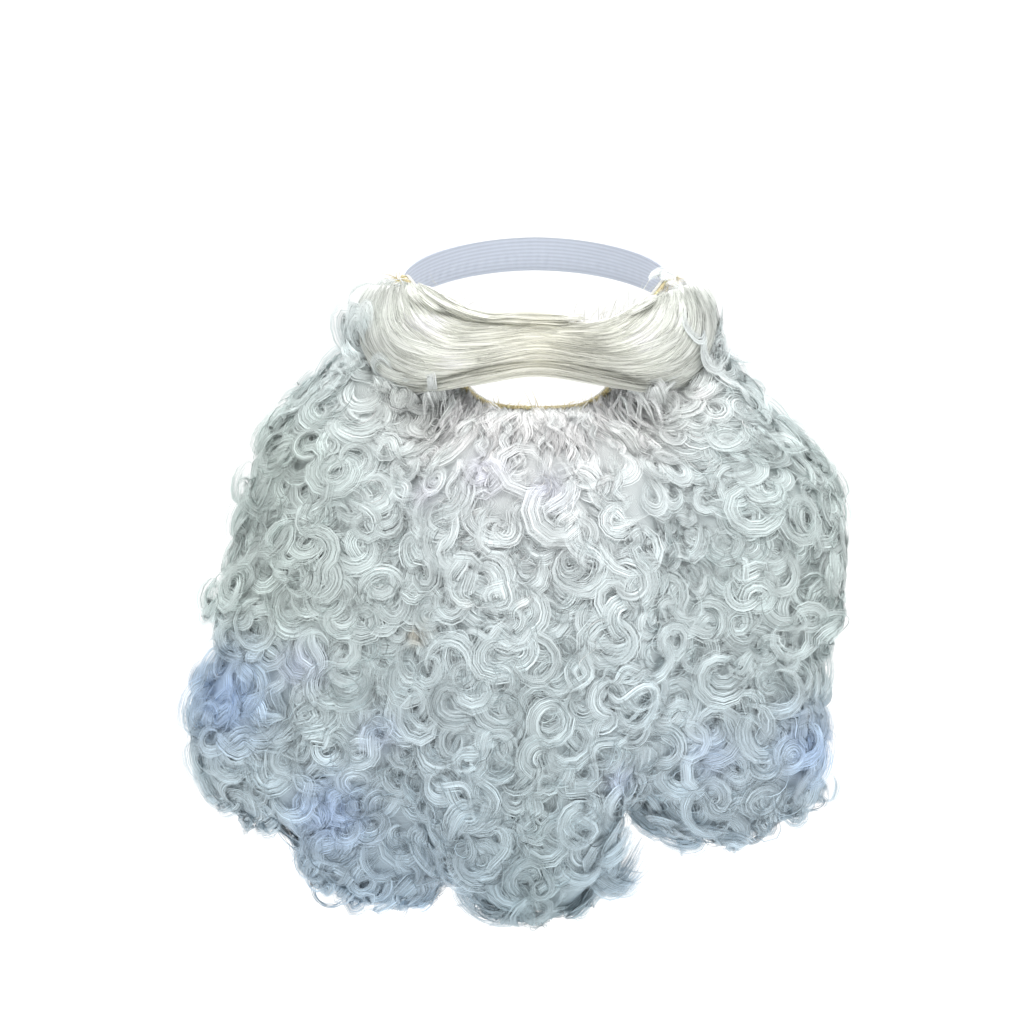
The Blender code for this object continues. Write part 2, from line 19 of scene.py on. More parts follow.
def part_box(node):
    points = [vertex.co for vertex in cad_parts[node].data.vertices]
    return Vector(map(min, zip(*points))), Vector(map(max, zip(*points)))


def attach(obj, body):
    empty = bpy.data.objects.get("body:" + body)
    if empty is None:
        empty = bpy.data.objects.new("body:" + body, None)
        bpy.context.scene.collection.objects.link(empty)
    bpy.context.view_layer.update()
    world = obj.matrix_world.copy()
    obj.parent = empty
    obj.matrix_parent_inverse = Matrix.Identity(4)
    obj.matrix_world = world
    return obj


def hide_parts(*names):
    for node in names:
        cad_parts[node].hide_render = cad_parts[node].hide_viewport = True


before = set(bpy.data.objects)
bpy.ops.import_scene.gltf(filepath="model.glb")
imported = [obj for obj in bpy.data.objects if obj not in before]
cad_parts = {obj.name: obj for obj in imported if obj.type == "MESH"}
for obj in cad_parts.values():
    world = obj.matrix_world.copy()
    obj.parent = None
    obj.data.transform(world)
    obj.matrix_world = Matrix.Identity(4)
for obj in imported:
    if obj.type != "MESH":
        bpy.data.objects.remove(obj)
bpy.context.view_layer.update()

LOG = logging.getLogger("false_beard")
SEED = 41
BODY = "root"
MM = 0.001
TONE = "tone"
FIBRE = "fibre"
# Direction of the light that the painted highlight on strands is worked out from.
SHEEN_FROM = np.array([-0.2, -0.76, 0.62])
FRONT = np.array([0.0, -1.0, 0.0])
CHANCE_BY_PLACE = np.array([9173.0, 5171.0, 7919.0])

Traits = dict[str, np.ndarray]
Curve = tuple[np.ndarray, np.ndarray, np.ndarray]
Spot = tuple[tuple[float, float], float, tuple[float, float, float], float]
Line = tuple[tuple[float, float], ...]


class Value:
    """A shader socket that takes part in Python arithmetic."""

    def __init__(self, graph: "Graph", socket: bpy.types.NodeSocket) -> None:
        """Keeps the graph and the socket.

        Args:
            graph: The graph that new nodes are added to.
            socket: The output socket that holds the value.
        """
        self.graph = graph
        self.socket = socket

    def _with(self, operation: str, *terms: Any) -> "Value":
        """Adds one Math node.

        Args:
            operation: The Math node's operation.
            terms: Its inputs, values or numbers.

        Returns:
            The result as a value.
        """
        return self.graph.node("ShaderNodeMath", {"operation": operation}, dict(enumerate(terms)))

    def __add__(self, other: Any) -> "Value":
        """Adds."""
        return self._with("ADD", self, other)

    def __sub__(self, other: Any) -> "Value":
        """Subtracts."""
        return self._with("SUBTRACT", self, other)

    def __mul__(self, other: Any) -> "Value":
        """Multiplies."""
        return self._with("MULTIPLY", self, other)

    def other(self, output: Any) -> "Value":
        """Another output of the same node."""
        return Value(self.graph, self.socket.node.outputs[output])

    def sine(self) -> "Value":
        """Sine of the value."""
        return self._with("SINE", self)

    def clamped(self) -> "Value":
        """The value kept between 0 and 1."""
        return self.at_least(0.0).at_most(1.0)

    def at_least(self, other: Any) -> "Value":
        """The larger of two values."""
        return self._with("MAXIMUM", self, other)

    def at_most(self, other: Any) -> "Value":
        """The smaller of two values."""
        return self._with("MINIMUM", self, other)


class Graph:
    """A material's node graph around one Principled shader."""

    def __init__(self, name: str) -> None:
        """Starts a material with a bare Principled shader.

        Args:
            name: The material's name.
        """
        self.material = bpy.data.materials.new(name)
        self.material.use_nodes = True
        self.nodes = self.material.node_tree.nodes
        self.links = self.material.node_tree.links
        self.nodes.clear()
        self.shader = self.nodes.new("ShaderNodeBsdfPrincipled")
        output = self.nodes.new("ShaderNodeOutputMaterial")
        self.links.new(self.shader.outputs[0], output.inputs[0])

    def _set(self, socket: bpy.types.NodeSocket, term: Any) -> None:
        """Links or sets one input.

        Args:
            socket: The input socket.
            term: A value to link, or a number or a tuple to set.
        """
        if isinstance(term, Value):
            self.links.new(term.socket, socket)
        elif isinstance(term, tuple) and len(term) == 3 and len(socket.default_value) == 4:
            socket.default_value = (*term, 1.0)
        else:
            socket.default_value = term

    def node(self, kind: str, settings: dict[str, Any], inputs: dict[Any, Any], output: Any = 0) -> Value:
        """Adds any node.

        Args:
            kind: The node's type.
            settings: Its settings, set first.
            inputs: Values, numbers or tuples by socket name or number.
            output: The output that is read.

        Returns:
            The output as a value.
        """
        node = self.nodes.new(kind)
        for name, setting in settings.items():
            setattr(node, name, setting)
        for name, term in inputs.items():
            self._set(node.inputs[name], term)
        return Value(self, node.outputs[output])

    def noise(self, place: Value, scale: float, detail: float, dimensions: str = "3D") -> Value:
        """Soft noise by place.

        Args:
            place: Where.
            scale: How fine it is.
            detail: How many finer layers it has.
            dimensions: 2D or 3D.

        Returns:
            The noise, 0 to 1.
        """
        inputs = {"Vector": place, "Scale": scale, "Detail": detail}
        return self.node("ShaderNodeTexNoise", {"noise_dimensions": dimensions}, inputs)

    def plain(self, colour: tuple[float, float, float]) -> Value:
        """Gives a colour a node of its own.

        Args:
            colour: Red, green and blue.

        Returns:
            The colour.
        """
        base = self.node("ShaderNodeRGB", {}, {})
        base.socket.default_value = (*colour, 1.0)
        return base

    def dress(self, **sockets: Any) -> None:
        """Sets the shader's own sockets.

        Args:
            sockets: Terms by socket name, with _ for a space.
        """
        for name, term in sockets.items():
            self._set(self.shader.inputs[name.replace("_", " ")], term)

    def bump(self, height: Value, strength: float, distance: float) -> Value:
        """Normal of a height.

        Args:
            height: The height, 0 to 1.
            strength: How much of it shows.
            distance: Its full height in metres.

        Returns:
            The normal.
        """
        return self.node("ShaderNodeBump", {}, {"Strength": strength, "Distance": distance, "Height": height})

    def scaled(self, colour: Value, amount: Value) -> Value:
        """Multiplies a colour by a number.

        Args:
            colour: The colour.
            amount: The number.

        Returns:
            The scaled colour.
        """
        return self.node("ShaderNodeVectorMath", {"operation": "SCALE"}, {0: colour, "Scale": amount})


@dataclass(frozen=True)
class HairFinish:
    """Glossy synthetic hair: colour by strand, fibres along it, painted highlight streaks and gaps where it
    thins out.
    """

    name: str
    roughness: float = 0.30
    shine: float = 0.6
    fibres_per_metre: float = 3300.0
    drift_per_metre: float = 26.0
    relief: float = 0.00008
    contrast: float = 0.42
    cut: float = 0.46
    thinning: float = 0.2
    cover: float = 1.0
    # how strong the painted highlight streaks are
    painted_light: float = 0.34

    def _fibres(self, graph: Graph, across: float, along: float, detail: float) -> Value:
        """Noise drawn out along the fibres.

        Args:
            graph: The material's graph.
            across: A factor for the fibres per metre.
            along: A factor for the drift per metre.
            detail: How many finer layers it has.

        Returns:
            The noise, 0 to 1.
        """
        place = graph.node("ShaderNodeUVMap", {"uv_map": FIBRE}, {})
        scale = (self.fibres_per_metre * across, self.drift_per_metre * along, 1.0)
        drawn = graph.node("ShaderNodeMapping", {}, {"Vector": place, "Scale": scale})
        return graph.noise(drawn, 1.0, detail, "2D")

    def material(self) -> bpy.types.Material:
        """Makes the material.

        Returns:
            The material.
        """
        graph = Graph(self.name)
        tone = graph.node("ShaderNodeAttribute", {"attribute_name": TONE}, {})
        fibre = self._fibres(graph, 1.0, 1.0, 2.5)
        # painted highlight: sparse bright streaks along the fibres are added to the colour
        painted_glint = self._fibres(graph, 0.32, 3.0, 1.0)
        light = (fibre - 0.56) * (4 * self.contrast) + 0.98
        light = light + ((painted_glint - 0.58) * 5.0).clamped() * self.painted_light
        kept = fibre - tone.other("Alpha") * self.thinning - self.cut
        graph.dress(
            Base_Color=graph.scaled(tone, light),
            Roughness=fibre * 0.2 + self.roughness,
            Normal=graph.bump(fibre, 0.5, self.relief),
            Specular_IOR_Level=self.shine,
            Alpha=(kept * 14.0 + 0.5).clamped() * self.cover,
        )
        return graph.material


@dataclass(frozen=True)
class UndercoatFinish:
    """Shaded hair deep under the locks, with rings of fibre or, where it is straight, combed ones."""

    name: str
    ring_scale: float = 46.0
    rings: float = 190.0
    straight: bool = False
    combed_scale: tuple[float, float, float] = (45.0, 900.0, 1500.0)

    def material(self) -> bpy.types.Material:
        """Makes the material.

        Returns:
            The material.
        """
        graph = Graph(self.name)
        tone = graph.node("ShaderNodeAttribute", {"attribute_name": TONE}, {})
        place = graph.node("ShaderNodeTexCoord", {}, {}, "Object")
        if self.straight:
            combed = graph.node("ShaderNodeMapping", {}, {"Vector": place, "Scale": self.combed_scale})
            fibre = graph.noise(combed, 1.0, 2.0)
        else:
            cells = graph.node("ShaderNodeTexVoronoi", {}, {"Vector": place, "Scale": self.ring_scale})
            fibre = (cells * self.rings + graph.noise(place, 160.0, 3.0) * 26.0).sine() * 0.5 + 0.5
        graph.dress(
            Base_Color=graph.scaled(tone, fibre * 0.28 + 0.7),
            Roughness=0.45,
            Normal=graph.bump(fibre, 0.6, 0.0003),
        )
        return graph.material


@dataclass(frozen=True)
class ClothFinish:
    """Knitted cloth with fine rows of loops."""

    name: str
    colour: tuple[float, float, float]
    loops_per_metre: float = 620.0

    def material(self) -> bpy.types.Material:
        """Makes the material.

        Returns:
            The material.
        """
        graph = Graph(self.name)
        place = graph.node("ShaderNodeTexCoord", {}, {}, "Object")
        parts = graph.node("ShaderNodeSeparateXYZ", {}, {"Vector": place})
        across, up = parts + parts.other(1), parts.other(2)
        turn = 2 * math.pi * self.loops_per_metre
        loops = (across * turn).sine() * ((up * turn * 0.8).sine() * 0.5 + 0.5) * 0.5 + 0.5
        fuzz = graph.noise(place, 900.0, 3.0)
        shade = loops * 0.22 + fuzz * 0.2 + graph.noise(place, 28.0, 2.0) * 0.16 + 0.62
        graph.dress(
            Base_Color=graph.scaled(graph.plain(self.colour), shade),
            Roughness=0.9,
            Normal=graph.bump(loops * 0.7 + fuzz * 0.3, 0.8, 0.0008),
        )
        return graph.material


@dataclass(frozen=True)
class ElasticFinish:
    """Woven elastic with ribs along it and fine cross threads."""

    name: str
    colour: tuple[float, float, float]
    ribs: float = 9.0
    threads_per_metre: float = 1400.0

    def material(self) -> bpy.types.Material:
        """Makes the material.

        Returns:
            The material.
        """
        graph = Graph(self.name)
        place = graph.node("ShaderNodeUVMap", {"uv_map": FIBRE}, {})
        across = graph.node("ShaderNodeSeparateXYZ", {}, {"Vector": place})
        thread = (across.other(1) * (2 * math.pi * self.threads_per_metre)).sine() * 0.5 + 0.5
        rib = (across * (2 * math.pi * self.ribs)).sine() * 0.5 + 0.5
        weave = thread * 0.5 + rib * 0.5
        graph.dress(
            Base_Color=graph.scaled(graph.plain(self.colour), weave * 0.3 + 0.78),
            Roughness=0.75,
            Normal=graph.bump(weave, 0.7, 0.0004),
        )
        return graph.material


@dataclass(frozen=True)
class PlainFinish:
    """Matt studio surface."""

    name: str
    colour: tuple[float, float, float]

    def material(self) -> bpy.types.Material:
        """Makes the material.

        Returns:
            The material.
        """
        graph = Graph(self.name)
        graph.dress(Base_Color=self.colour, Roughness=0.9)
        return graph.material


def declare(piece: bpy.types.Object, node: str) -> None:
    """Tells the frame what a piece is, and reports it.

    Args:
        piece: The piece.
        node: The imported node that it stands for.
    """
    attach(piece, BODY)
    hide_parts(node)
    LOG.info("%s stands for %s: %d faces", piece.name, node, len(piece.data.polygons))


def deselect_all() -> None:
    """Deselects every object."""
    for item in bpy.context.selected_objects:
        item.select_set(False)


def activate(item: bpy.types.Object) -> None:
    """Selects one object alone.

    Args:
        item: The object.
    """
    deselect_all()
    item.select_set(True)
    bpy.context.view_layer.objects.active = item


def apply_modifier(item: bpy.types.Object, name: str, kind: str, **settings: Any) -> None:
    """Adds a modifier and applies it.

    Args:
        item: The object.
        name: The modifier's name.
        kind: Its type.
        settings: Its settings.
    """
    activate(item)
    step = item.modifiers.new(name, kind)
    for key, setting in settings.items():
        setattr(step, key, setting)
    bpy.ops.object.modifier_apply(modifier=step.name)


def copy_node(node: str, name: str) -> bpy.types.Object:
    """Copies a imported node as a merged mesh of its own.

    Args:
        node: The node's name.
        name: The copy's name.

    Returns:
        The copy.
    """
    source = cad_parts[node]
    mesh = source.data.copy()
    mesh.name = name
    mesh.materials.clear()
    form = bmesh.new()
    form.from_mesh(mesh)
    bmesh.ops.remove_doubles(form, verts=form.verts, dist=0.00001)
    bmesh.ops.recalc_face_normals(form, faces=form.faces)
    form.to_mesh(mesh)
    form.free()
    result = bpy.data.objects.new(name, mesh)
    bpy.context.scene.collection.objects.link(result)
    return result


def paint(item: bpy.types.Object, colours: np.ndarray, thin: Any = 0.0) -> None:
    """Stores a colour for each point of a mesh.

    Args:
        item: The object.
        colours: One row of red, green and blue per point.
        thin: How sparse the fibres are at each point, 0 to 1.
    """
    layer = item.data.color_attributes.new(name=TONE, type="FLOAT_COLOR", domain="POINT")
    full = np.ones((len(colours), 4), dtype=np.float32)
    full[:, :3] = colours
    full[:, 3] = thin
    layer.data.foreach_set("color", full.ravel())


def soft_body(node: str, name: str, voxel: float, softening: int, sink: float) -> bpy.types.Object:
    """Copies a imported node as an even, softened body a little inside it.

    Args:
        node: The node's name.
        name: The copy's name.
        voxel: Size of its even faces.
        softening: How often it is evened out.
        sink: How far it lies inside the node.

    Returns:
        The body.
    """
    body = copy_node(node, name)
    apply_modifier(body, "voxels", "REMESH", mode="VOXEL", voxel_size=voxel)
    apply_modifier(body, "soften", "SMOOTH", factor=0.5, iterations=softening)
    apply_modifier(body, "sink", "DISPLACE", strength=-sink, mid_level=0.0)
    body.data.shade_smooth()
    return body


def point_array(item: bpy.types.Object) -> np.ndarray:
    """Points of a mesh.

    Args:
        item: The object.

    Returns:
        One row per point.
    """
    points = np.empty(len(item.data.vertices) * 3, dtype=np.float32)
    item.data.vertices.foreach_get("co", points)
    return points.reshape(-1, 3).astype(float)


def unit(vectors: np.ndarray) -> np.ndarray:
    """Vectors of length one.

    Args:
        vectors: Vectors along the last axis.

    Returns:
        The same directions at length one.
    """
    return vectors / np.maximum(np.linalg.norm(vectors, axis=-1, keepdims=True), 1e-12)


def painted_sheen(paths: np.ndarray, strength: float) -> np.ndarray:
    """Painted highlight: lightness painted into strands by their heading, brightest where they run across the
    light.

    Args:
        paths: Strand, point, place.
        strength: How much lighter the brightest places are.

    Returns:
        A factor by strand and point.
    """
    along = unit(np.gradient(paths, axis=1))
    crossed = 1 - (along @ SHEEN_FROM) ** 2
    return 1 - strength * 0.35 + strength * np.clip(crossed, 0, 1) ** 7


def shares(steps: int) -> np.ndarray:
    """Even shares from 0 to 1, as one row."""
    return np.linspace(0, 1, steps)[None, :]


def smooth_rows(rows: np.ndarray, times: int) -> np.ndarray:
    """Evens out paths along their length, with their ends kept.

    Args:
        rows: Paths as strand, point, place.
        times: How often.

    Returns:
        The smoothed paths.
    """
    for _ in range(times):
        inner = (rows[:, :-2] + 2 * rows[:, 1:-1] + rows[:, 2:]) / 4
        rows = np.concatenate([rows[:, :1], inner, rows[:, -1:]], axis=1)
    return rows


def tube_route(node: str) -> tuple[np.ndarray, float]:
    """Middle line of a packed tube, from its left end to its right end.

    Args:
        node: The node's name.

    Returns:
        The line's points and the tube's radius.
    """
    body = copy_node(node, node + "_line")
    points = point_array(body)
    near: list[set[int]] = [set() for _ in points]
    for edge in body.data.edges:
        first, second = edge.vertices
        near[first].add(second)
        near[second].add(first)
    bpy.data.objects.remove(body)
    start = points[np.argmin(points[:, 0] - points[:, 2] * 0.2 - points[:, 1] * 3)]
    ring = {int(index) for index in np.flatnonzero(np.linalg.norm(points - start, axis=1) < 3 * MM)}
    seen: set[int] = set()
    line = []
    radius = 0.0
    while ring:
        members = points[list(ring)]
        line.append(members.mean(axis=0))
        radius = max(radius, float(np.linalg.norm(members - line[-1], axis=1).min()))
        seen |= ring
        ring = {index for member in ring for index in near[member]} - seen
    return np.array(line), radius


def resampled(line: np.ndarray, count: int) -> np.ndarray:
    """Even points along a line.

    Args:
        line: The line's points.
        count: How many points.

    Returns:
        The even points.
    """
    travelled = np.concatenate([[0.0], np.cumsum(np.linalg.norm(np.diff(line, axis=0), axis=1))])
    wanted = np.linspace(0, travelled[-1], count)
    return np.stack([np.interp(wanted, travelled, line[:, axis]) for axis in range(line.shape[1])], axis=1)


class Surface:
    """A skin that strands follow."""

    def __init__(self, *items: bpy.types.Object) -> None:
        """Reads the skin.

        Args:
            items: The objects that hold it.
        """
        clouds = [point_array(item) for item in items]
        first = np.cumsum([0] + [len(cloud) for cloud in clouds])
        self.points = np.concatenate(clouds)
        faces = []
        for start, item in zip(first, items):
            item.data.calc_loop_triangles()
            faces.append(np.array([tuple(face.vertices) for face in item.data.loop_triangles]) + start)
        self.faces = np.concatenate(faces)
        self.tree = BVHTree.FromPolygons(self.points.tolist(), self.faces.tolist())
        corners = self.points[self.faces]
        crossed = np.cross(corners[:, 1] - corners[:, 0], corners[:, 2] - corners[:, 0])
        self.areas = np.linalg.norm(crossed, axis=1) / 2
        self.face_normals = unit(crossed)
        normals = np.zeros_like(self.points)
        for corner in range(3):
            np.add.at(normals, self.faces[:, corner], crossed)
        self.normals = unit(normals)

    def _shaded(self, place: Vector, face: int) -> np.ndarray:
        """Smooth normal at a place on a face.

        Args:
            place: The place.
            face: The face's number.

        Returns:
            The normal.
        """
        corners = self.points[self.faces[face]]
        weights = 1 / (np.linalg.norm(corners - np.array(place), axis=1) + 0.0005)
        return weights @ self.normals[self.faces[face]]

    def nearest(self, places: np.ndarray) -> tuple[np.ndarray, np.ndarray]:
        """Closest points of the skin.

        Args:
            places: Places along the last axis.

        Returns:
            The closest points and their smooth normals.
        """
        flat = places.reshape(-1, 3)
        found = np.empty_like(flat)
        normals = np.empty_like(flat)
        for index, place in enumerate(flat.tolist()):
            hit, _, face, _ = self.tree.find_nearest(place)
            found[index] = hit
            normals[index] = self._shaded(hit, face)
        return found.reshape(places.shape), unit(normals).reshape(places.shape)

    def struck(self, start: np.ndarray, toward: np.ndarray) -> tuple[np.ndarray, np.ndarray]:
        """Points of the skin that rays strike, or the nearest ones where they miss.

        Args:
            start: Where the rays start.
            toward: Where they point.

        Returns:
            The points and their smooth normals.
        """
        flat = start.reshape(-1, 3)
        heading = unit(toward - start).reshape(-1, 3)
        found = np.empty_like(flat)
        normals = np.empty_like(flat)
        aims = toward.reshape(-1, 3)
        for index in range(len(flat)):
            hit, _, face, _ = self.tree.ray_cast(Vector(flat[index]), Vector(heading[index]))
            if hit is None:
                middle = flat[index] + (aims[index] - flat[index]) * 0.45
                hit, _, face, _ = self.tree.find_nearest(Vector(middle))
            found[index] = hit
            normals[index] = self._shaded(hit, face)
        return found.reshape(start.shape), unit(normals).reshape(start.shape)

    def scatter(
        self, spacing: float, rng: np.random.Generator, keep: Callable[[np.ndarray, np.ndarray], np.ndarray]
    ) -> tuple[np.ndarray, np.ndarray]:
        """Spreads roots over the skin with a least distance between them.

        Args:
            spacing: The least distance.
            rng: The seeded source of chance.
            keep: Says for places and normals which may stay.

        Returns:
            The roots and their normals.
        """
        tries = int(self.areas.sum() / spacing**2 * 9)
        picks = rng.choice(len(self.faces), size=tries, p=self.areas / self.areas.sum())
        weights = rng.dirichlet((1.0, 1.0, 1.0), size=tries)
        places = np.einsum("ij,ijk->ik", weights, self.points[self.faces[picks]])
        normals = unit(np.einsum("ij,ijk->ik", weights, self.normals[self.faces[picks]]))
        allowed = keep(places, normals)
        chosen: list[int] = []
        taken = np.empty((0, 3))
        for index in np.flatnonzero(allowed):
            gaps = taken - places[index]
            if len(taken) and np.einsum("ij,ij->i", gaps, gaps).min() < spacing**2:
                continue
            chosen.append(int(index))
            taken = np.vstack([taken, places[index]])
        return places[chosen], normals[chosen]


@dataclass
class Strands:
    """Closed tubes along many paths, joined as one mesh."""

    name: str

    def __post_init__(self) -> None:
        """Starts with no tubes."""
        self.points: list[np.ndarray] = []
        self.corners: list[np.ndarray] = []
        self.starts: list[np.ndarray] = []
        self.fibres: list[np.ndarray] = []
        self.tones: list[np.ndarray] = []
        self.thins: list[np.ndarray] = []
        self.rims: list[np.ndarray] = []
        self.count = 0
        self.loops = 0
        self.triangles = 0

    def add(
        self,
        paths: np.ndarray,
        normals: np.ndarray,
        width: np.ndarray,
        depth: np.ndarray,
        sides: int,
        tones: np.ndarray,
        seeds: np.ndarray,
    ) -> None:
        """Adds a batch of tubes with as many points each.

        Args:
            paths: Strand, point, place.
            normals: The way that each point's flat side faces.
            width: Full width by strand and point.
            depth: Full thickness by strand and point.
            sides: Sides of the section.
            tones: Colour by strand and point.
            seeds: One number per strand, which sets its fibres apart.
        """
        number, length, _ = paths.shape
        along = unit(np.gradient(paths, axis=1))
        across = unit(np.cross(along, normals))
        out = unit(np.cross(across, along))
        turns = np.pi / 2 + 2 * np.pi * np.arange(sides) / sides
        aside = (np.cos(turns) * width[:, :, None] / 2)[..., None]
        up = (np.sin(turns) * depth[:, :, None] / 2)[..., None]
        ring = paths[:, :, None, :] + across[:, :, None, :] * aside + out[:, :, None, :] * up
        quads, caps = self._faces(number, length, sides)
        flat = sides == 4
        ends = np.clip(np.maximum(1 - shares(length) * 5, shares(length) * 2 - 1), 0, 1)[..., None]
        thin = (np.abs(np.cos(turns)) * 0.75 + ends * 0.55) * flat
        self.points.append(ring.reshape(-1, 3))
        self.tones.append(np.repeat(tones[:, :, None, :], sides, axis=2).reshape(-1, 3))
        self.thins.append(np.broadcast_to(thin, (number, length, sides)).ravel())
        self.rims.append(np.tile((np.arange(sides) % 2 == 1) & flat, number * length))
        self.corners.append(np.concatenate([quads.ravel(), caps.ravel()]))
        quad_starts = self.loops + 4 * np.arange(len(quads))
        cap_starts = self.loops + 4 * len(quads) + sides * np.arange(len(caps))
        self.starts.append(np.concatenate([quad_starts, cap_starts]))
        self.fibres += [self._sheet(paths, width, sides, seeds), np.zeros((caps.size, 2))]
        self.count += number * length * sides
        self.loops += quads.size + caps.size
        self.triangles += 2 * len(quads) + (sides - 2) * len(caps)

    def _faces(self, number: int, length: int, sides: int) -> tuple[np.ndarray, np.ndarray]:
        """Corners of the faces round and across a batch of tubes.

        Args:
            number: How many tubes.
            length: Points along each.
            sides: Sides of the section.

        Returns:
            The quads of the walls and the caps of both ends.
        """
        base = self.count + (np.arange(number) * length * sides)[:, None, None]
        here = base + (np.arange(length - 1) * sides)[None, :, None]
        side = np.arange(sides)[None, None, :]
        after = (side + 1) % sides
        quads = np.stack([here + side, here + sides + side, here + sides + after, here + after], axis=-1)
        first = base[:, 0] + np.arange(sides)[None, :]
        last = base[:, 0] + (length - 1) * sides + np.arange(sides)[::-1][None, :]
        return quads.reshape(-1, 4), np.concatenate([first, last]).reshape(-1, sides)

    def _sheet(self, paths: np.ndarray, width: np.ndarray, sides: int, seeds: np.ndarray) -> np.ndarray:
        """Places across and along the fibres for every corner of the walls.

        Args:
            paths: Strand, point, place.
            width: Full width by strand and point.
            sides: Sides of the section.
            seeds: One number per strand, which sets its fibres apart.

        Returns:
            One row per corner, in metres.
        """
        number, length, _ = paths.shape
        spans = np.linalg.norm(np.diff(paths, axis=1), axis=2)
        travelled = np.concatenate([np.zeros((number, 1)), np.cumsum(spans, axis=1)], axis=1)
        edge = np.arange(sides + 1)[None, None, :] / sides * width.max(axis=1)[:, None, None] * 2
        edge = edge + seeds[:, None, None]
        shape = (number, length - 1, sides)
        low, high, near, far = (
            np.broadcast_to(values, shape)
            for values in (edge[:, :, :-1], edge[:, :, 1:], travelled[:, :-1, None], travelled[:, 1:, None])
        )
        corners = ((low, near), (low, far), (high, far), (high, near))
        return np.stack([np.stack(corner, -1) for corner in corners], axis=-2).reshape(-1, 2)

    def build(self, material: bpy.types.Material) -> bpy.types.Object:
        """Makes the mesh.

        Args:
            material: Its material.

        Returns:
            The object.
        """
        points = np.concatenate(self.points).astype(np.float32)
        corners = np.concatenate(self.corners).astype(np.int32)
        starts = np.concatenate(self.starts).astype(np.int32)
        mesh = bpy.data.meshes.new(self.name)
        mesh.vertices.add(len(points))
        mesh.vertices.foreach_set("co", points.ravel())
        mesh.loops.add(len(corners))
        mesh.loops.foreach_set("vertex_index", corners)
        mesh.polygons.add(len(starts))
        mesh.polygons.foreach_set("loop_start", starts)
        layer = mesh.uv_layers.new(name=FIBRE)
        layer.data.foreach_set("uv", np.concatenate(self.fibres).astype(np.float32).ravel())
        mesh.update(calc_edges=True)
        mesh.shade_smooth()
        ends = np.empty(len(mesh.edges) * 2, dtype=np.int32)
        mesh.edges.foreach_get("vertices", ends)
        rims = np.concatenate(self.rims)[ends.reshape(-1, 2)].all(axis=1)
        sharp = mesh.attributes.new("sharp_edge", "BOOLEAN", "EDGE")
        sharp.data.foreach_set("value", rims)
        result = bpy.data.objects.new(self.name, mesh)
        bpy.context.scene.collection.objects.link(result)
        paint(result, np.concatenate(self.tones), np.concatenate(self.thins))
        mesh.materials.append(material)
        LOG.info("%s: %d triangles in strands", self.name, self.triangles)
        return result


class Curl(Enum):
    """The forms that a lock of hair takes."""

    RING = 0
    RINGLET = 1
    WAVE = 2


@dataclass(frozen=True)
class Lay:
    """How the strands of a batch are made."""

    sides: int
    steps: int
    width: float
    depth: float
    uneven: float
    spread: float = 1.0
    raise_by: float = 0.0


RIBBON = Lay(sides=4, steps=14, width=13.0 * MM, depth=0.35 * MM, uneven=0.05)
SILK = Lay(sides=4, steps=14, width=9.0 * MM, depth=0.3 * MM, uneven=0.05, spread=1.6, raise_by=0.4 * MM)
THREAD = Lay(sides=3, steps=12, width=0.5 * MM, depth=0.5 * MM, uneven=0.17, spread=2.2, raise_by=0.6 * MM)
COMBED = Lay(sides=4, steps=16, width=7.0 * MM, depth=0.3 * MM, uneven=0.035)
FINE = Lay(sides=3, steps=16, width=0.42 * MM, depth=0.42 * MM, uneven=0.06, raise_by=0.8 * MM)
STRAY = Lay(sides=3, steps=16, width=0.22 * MM, depth=0.22 * MM, uneven=0.05)


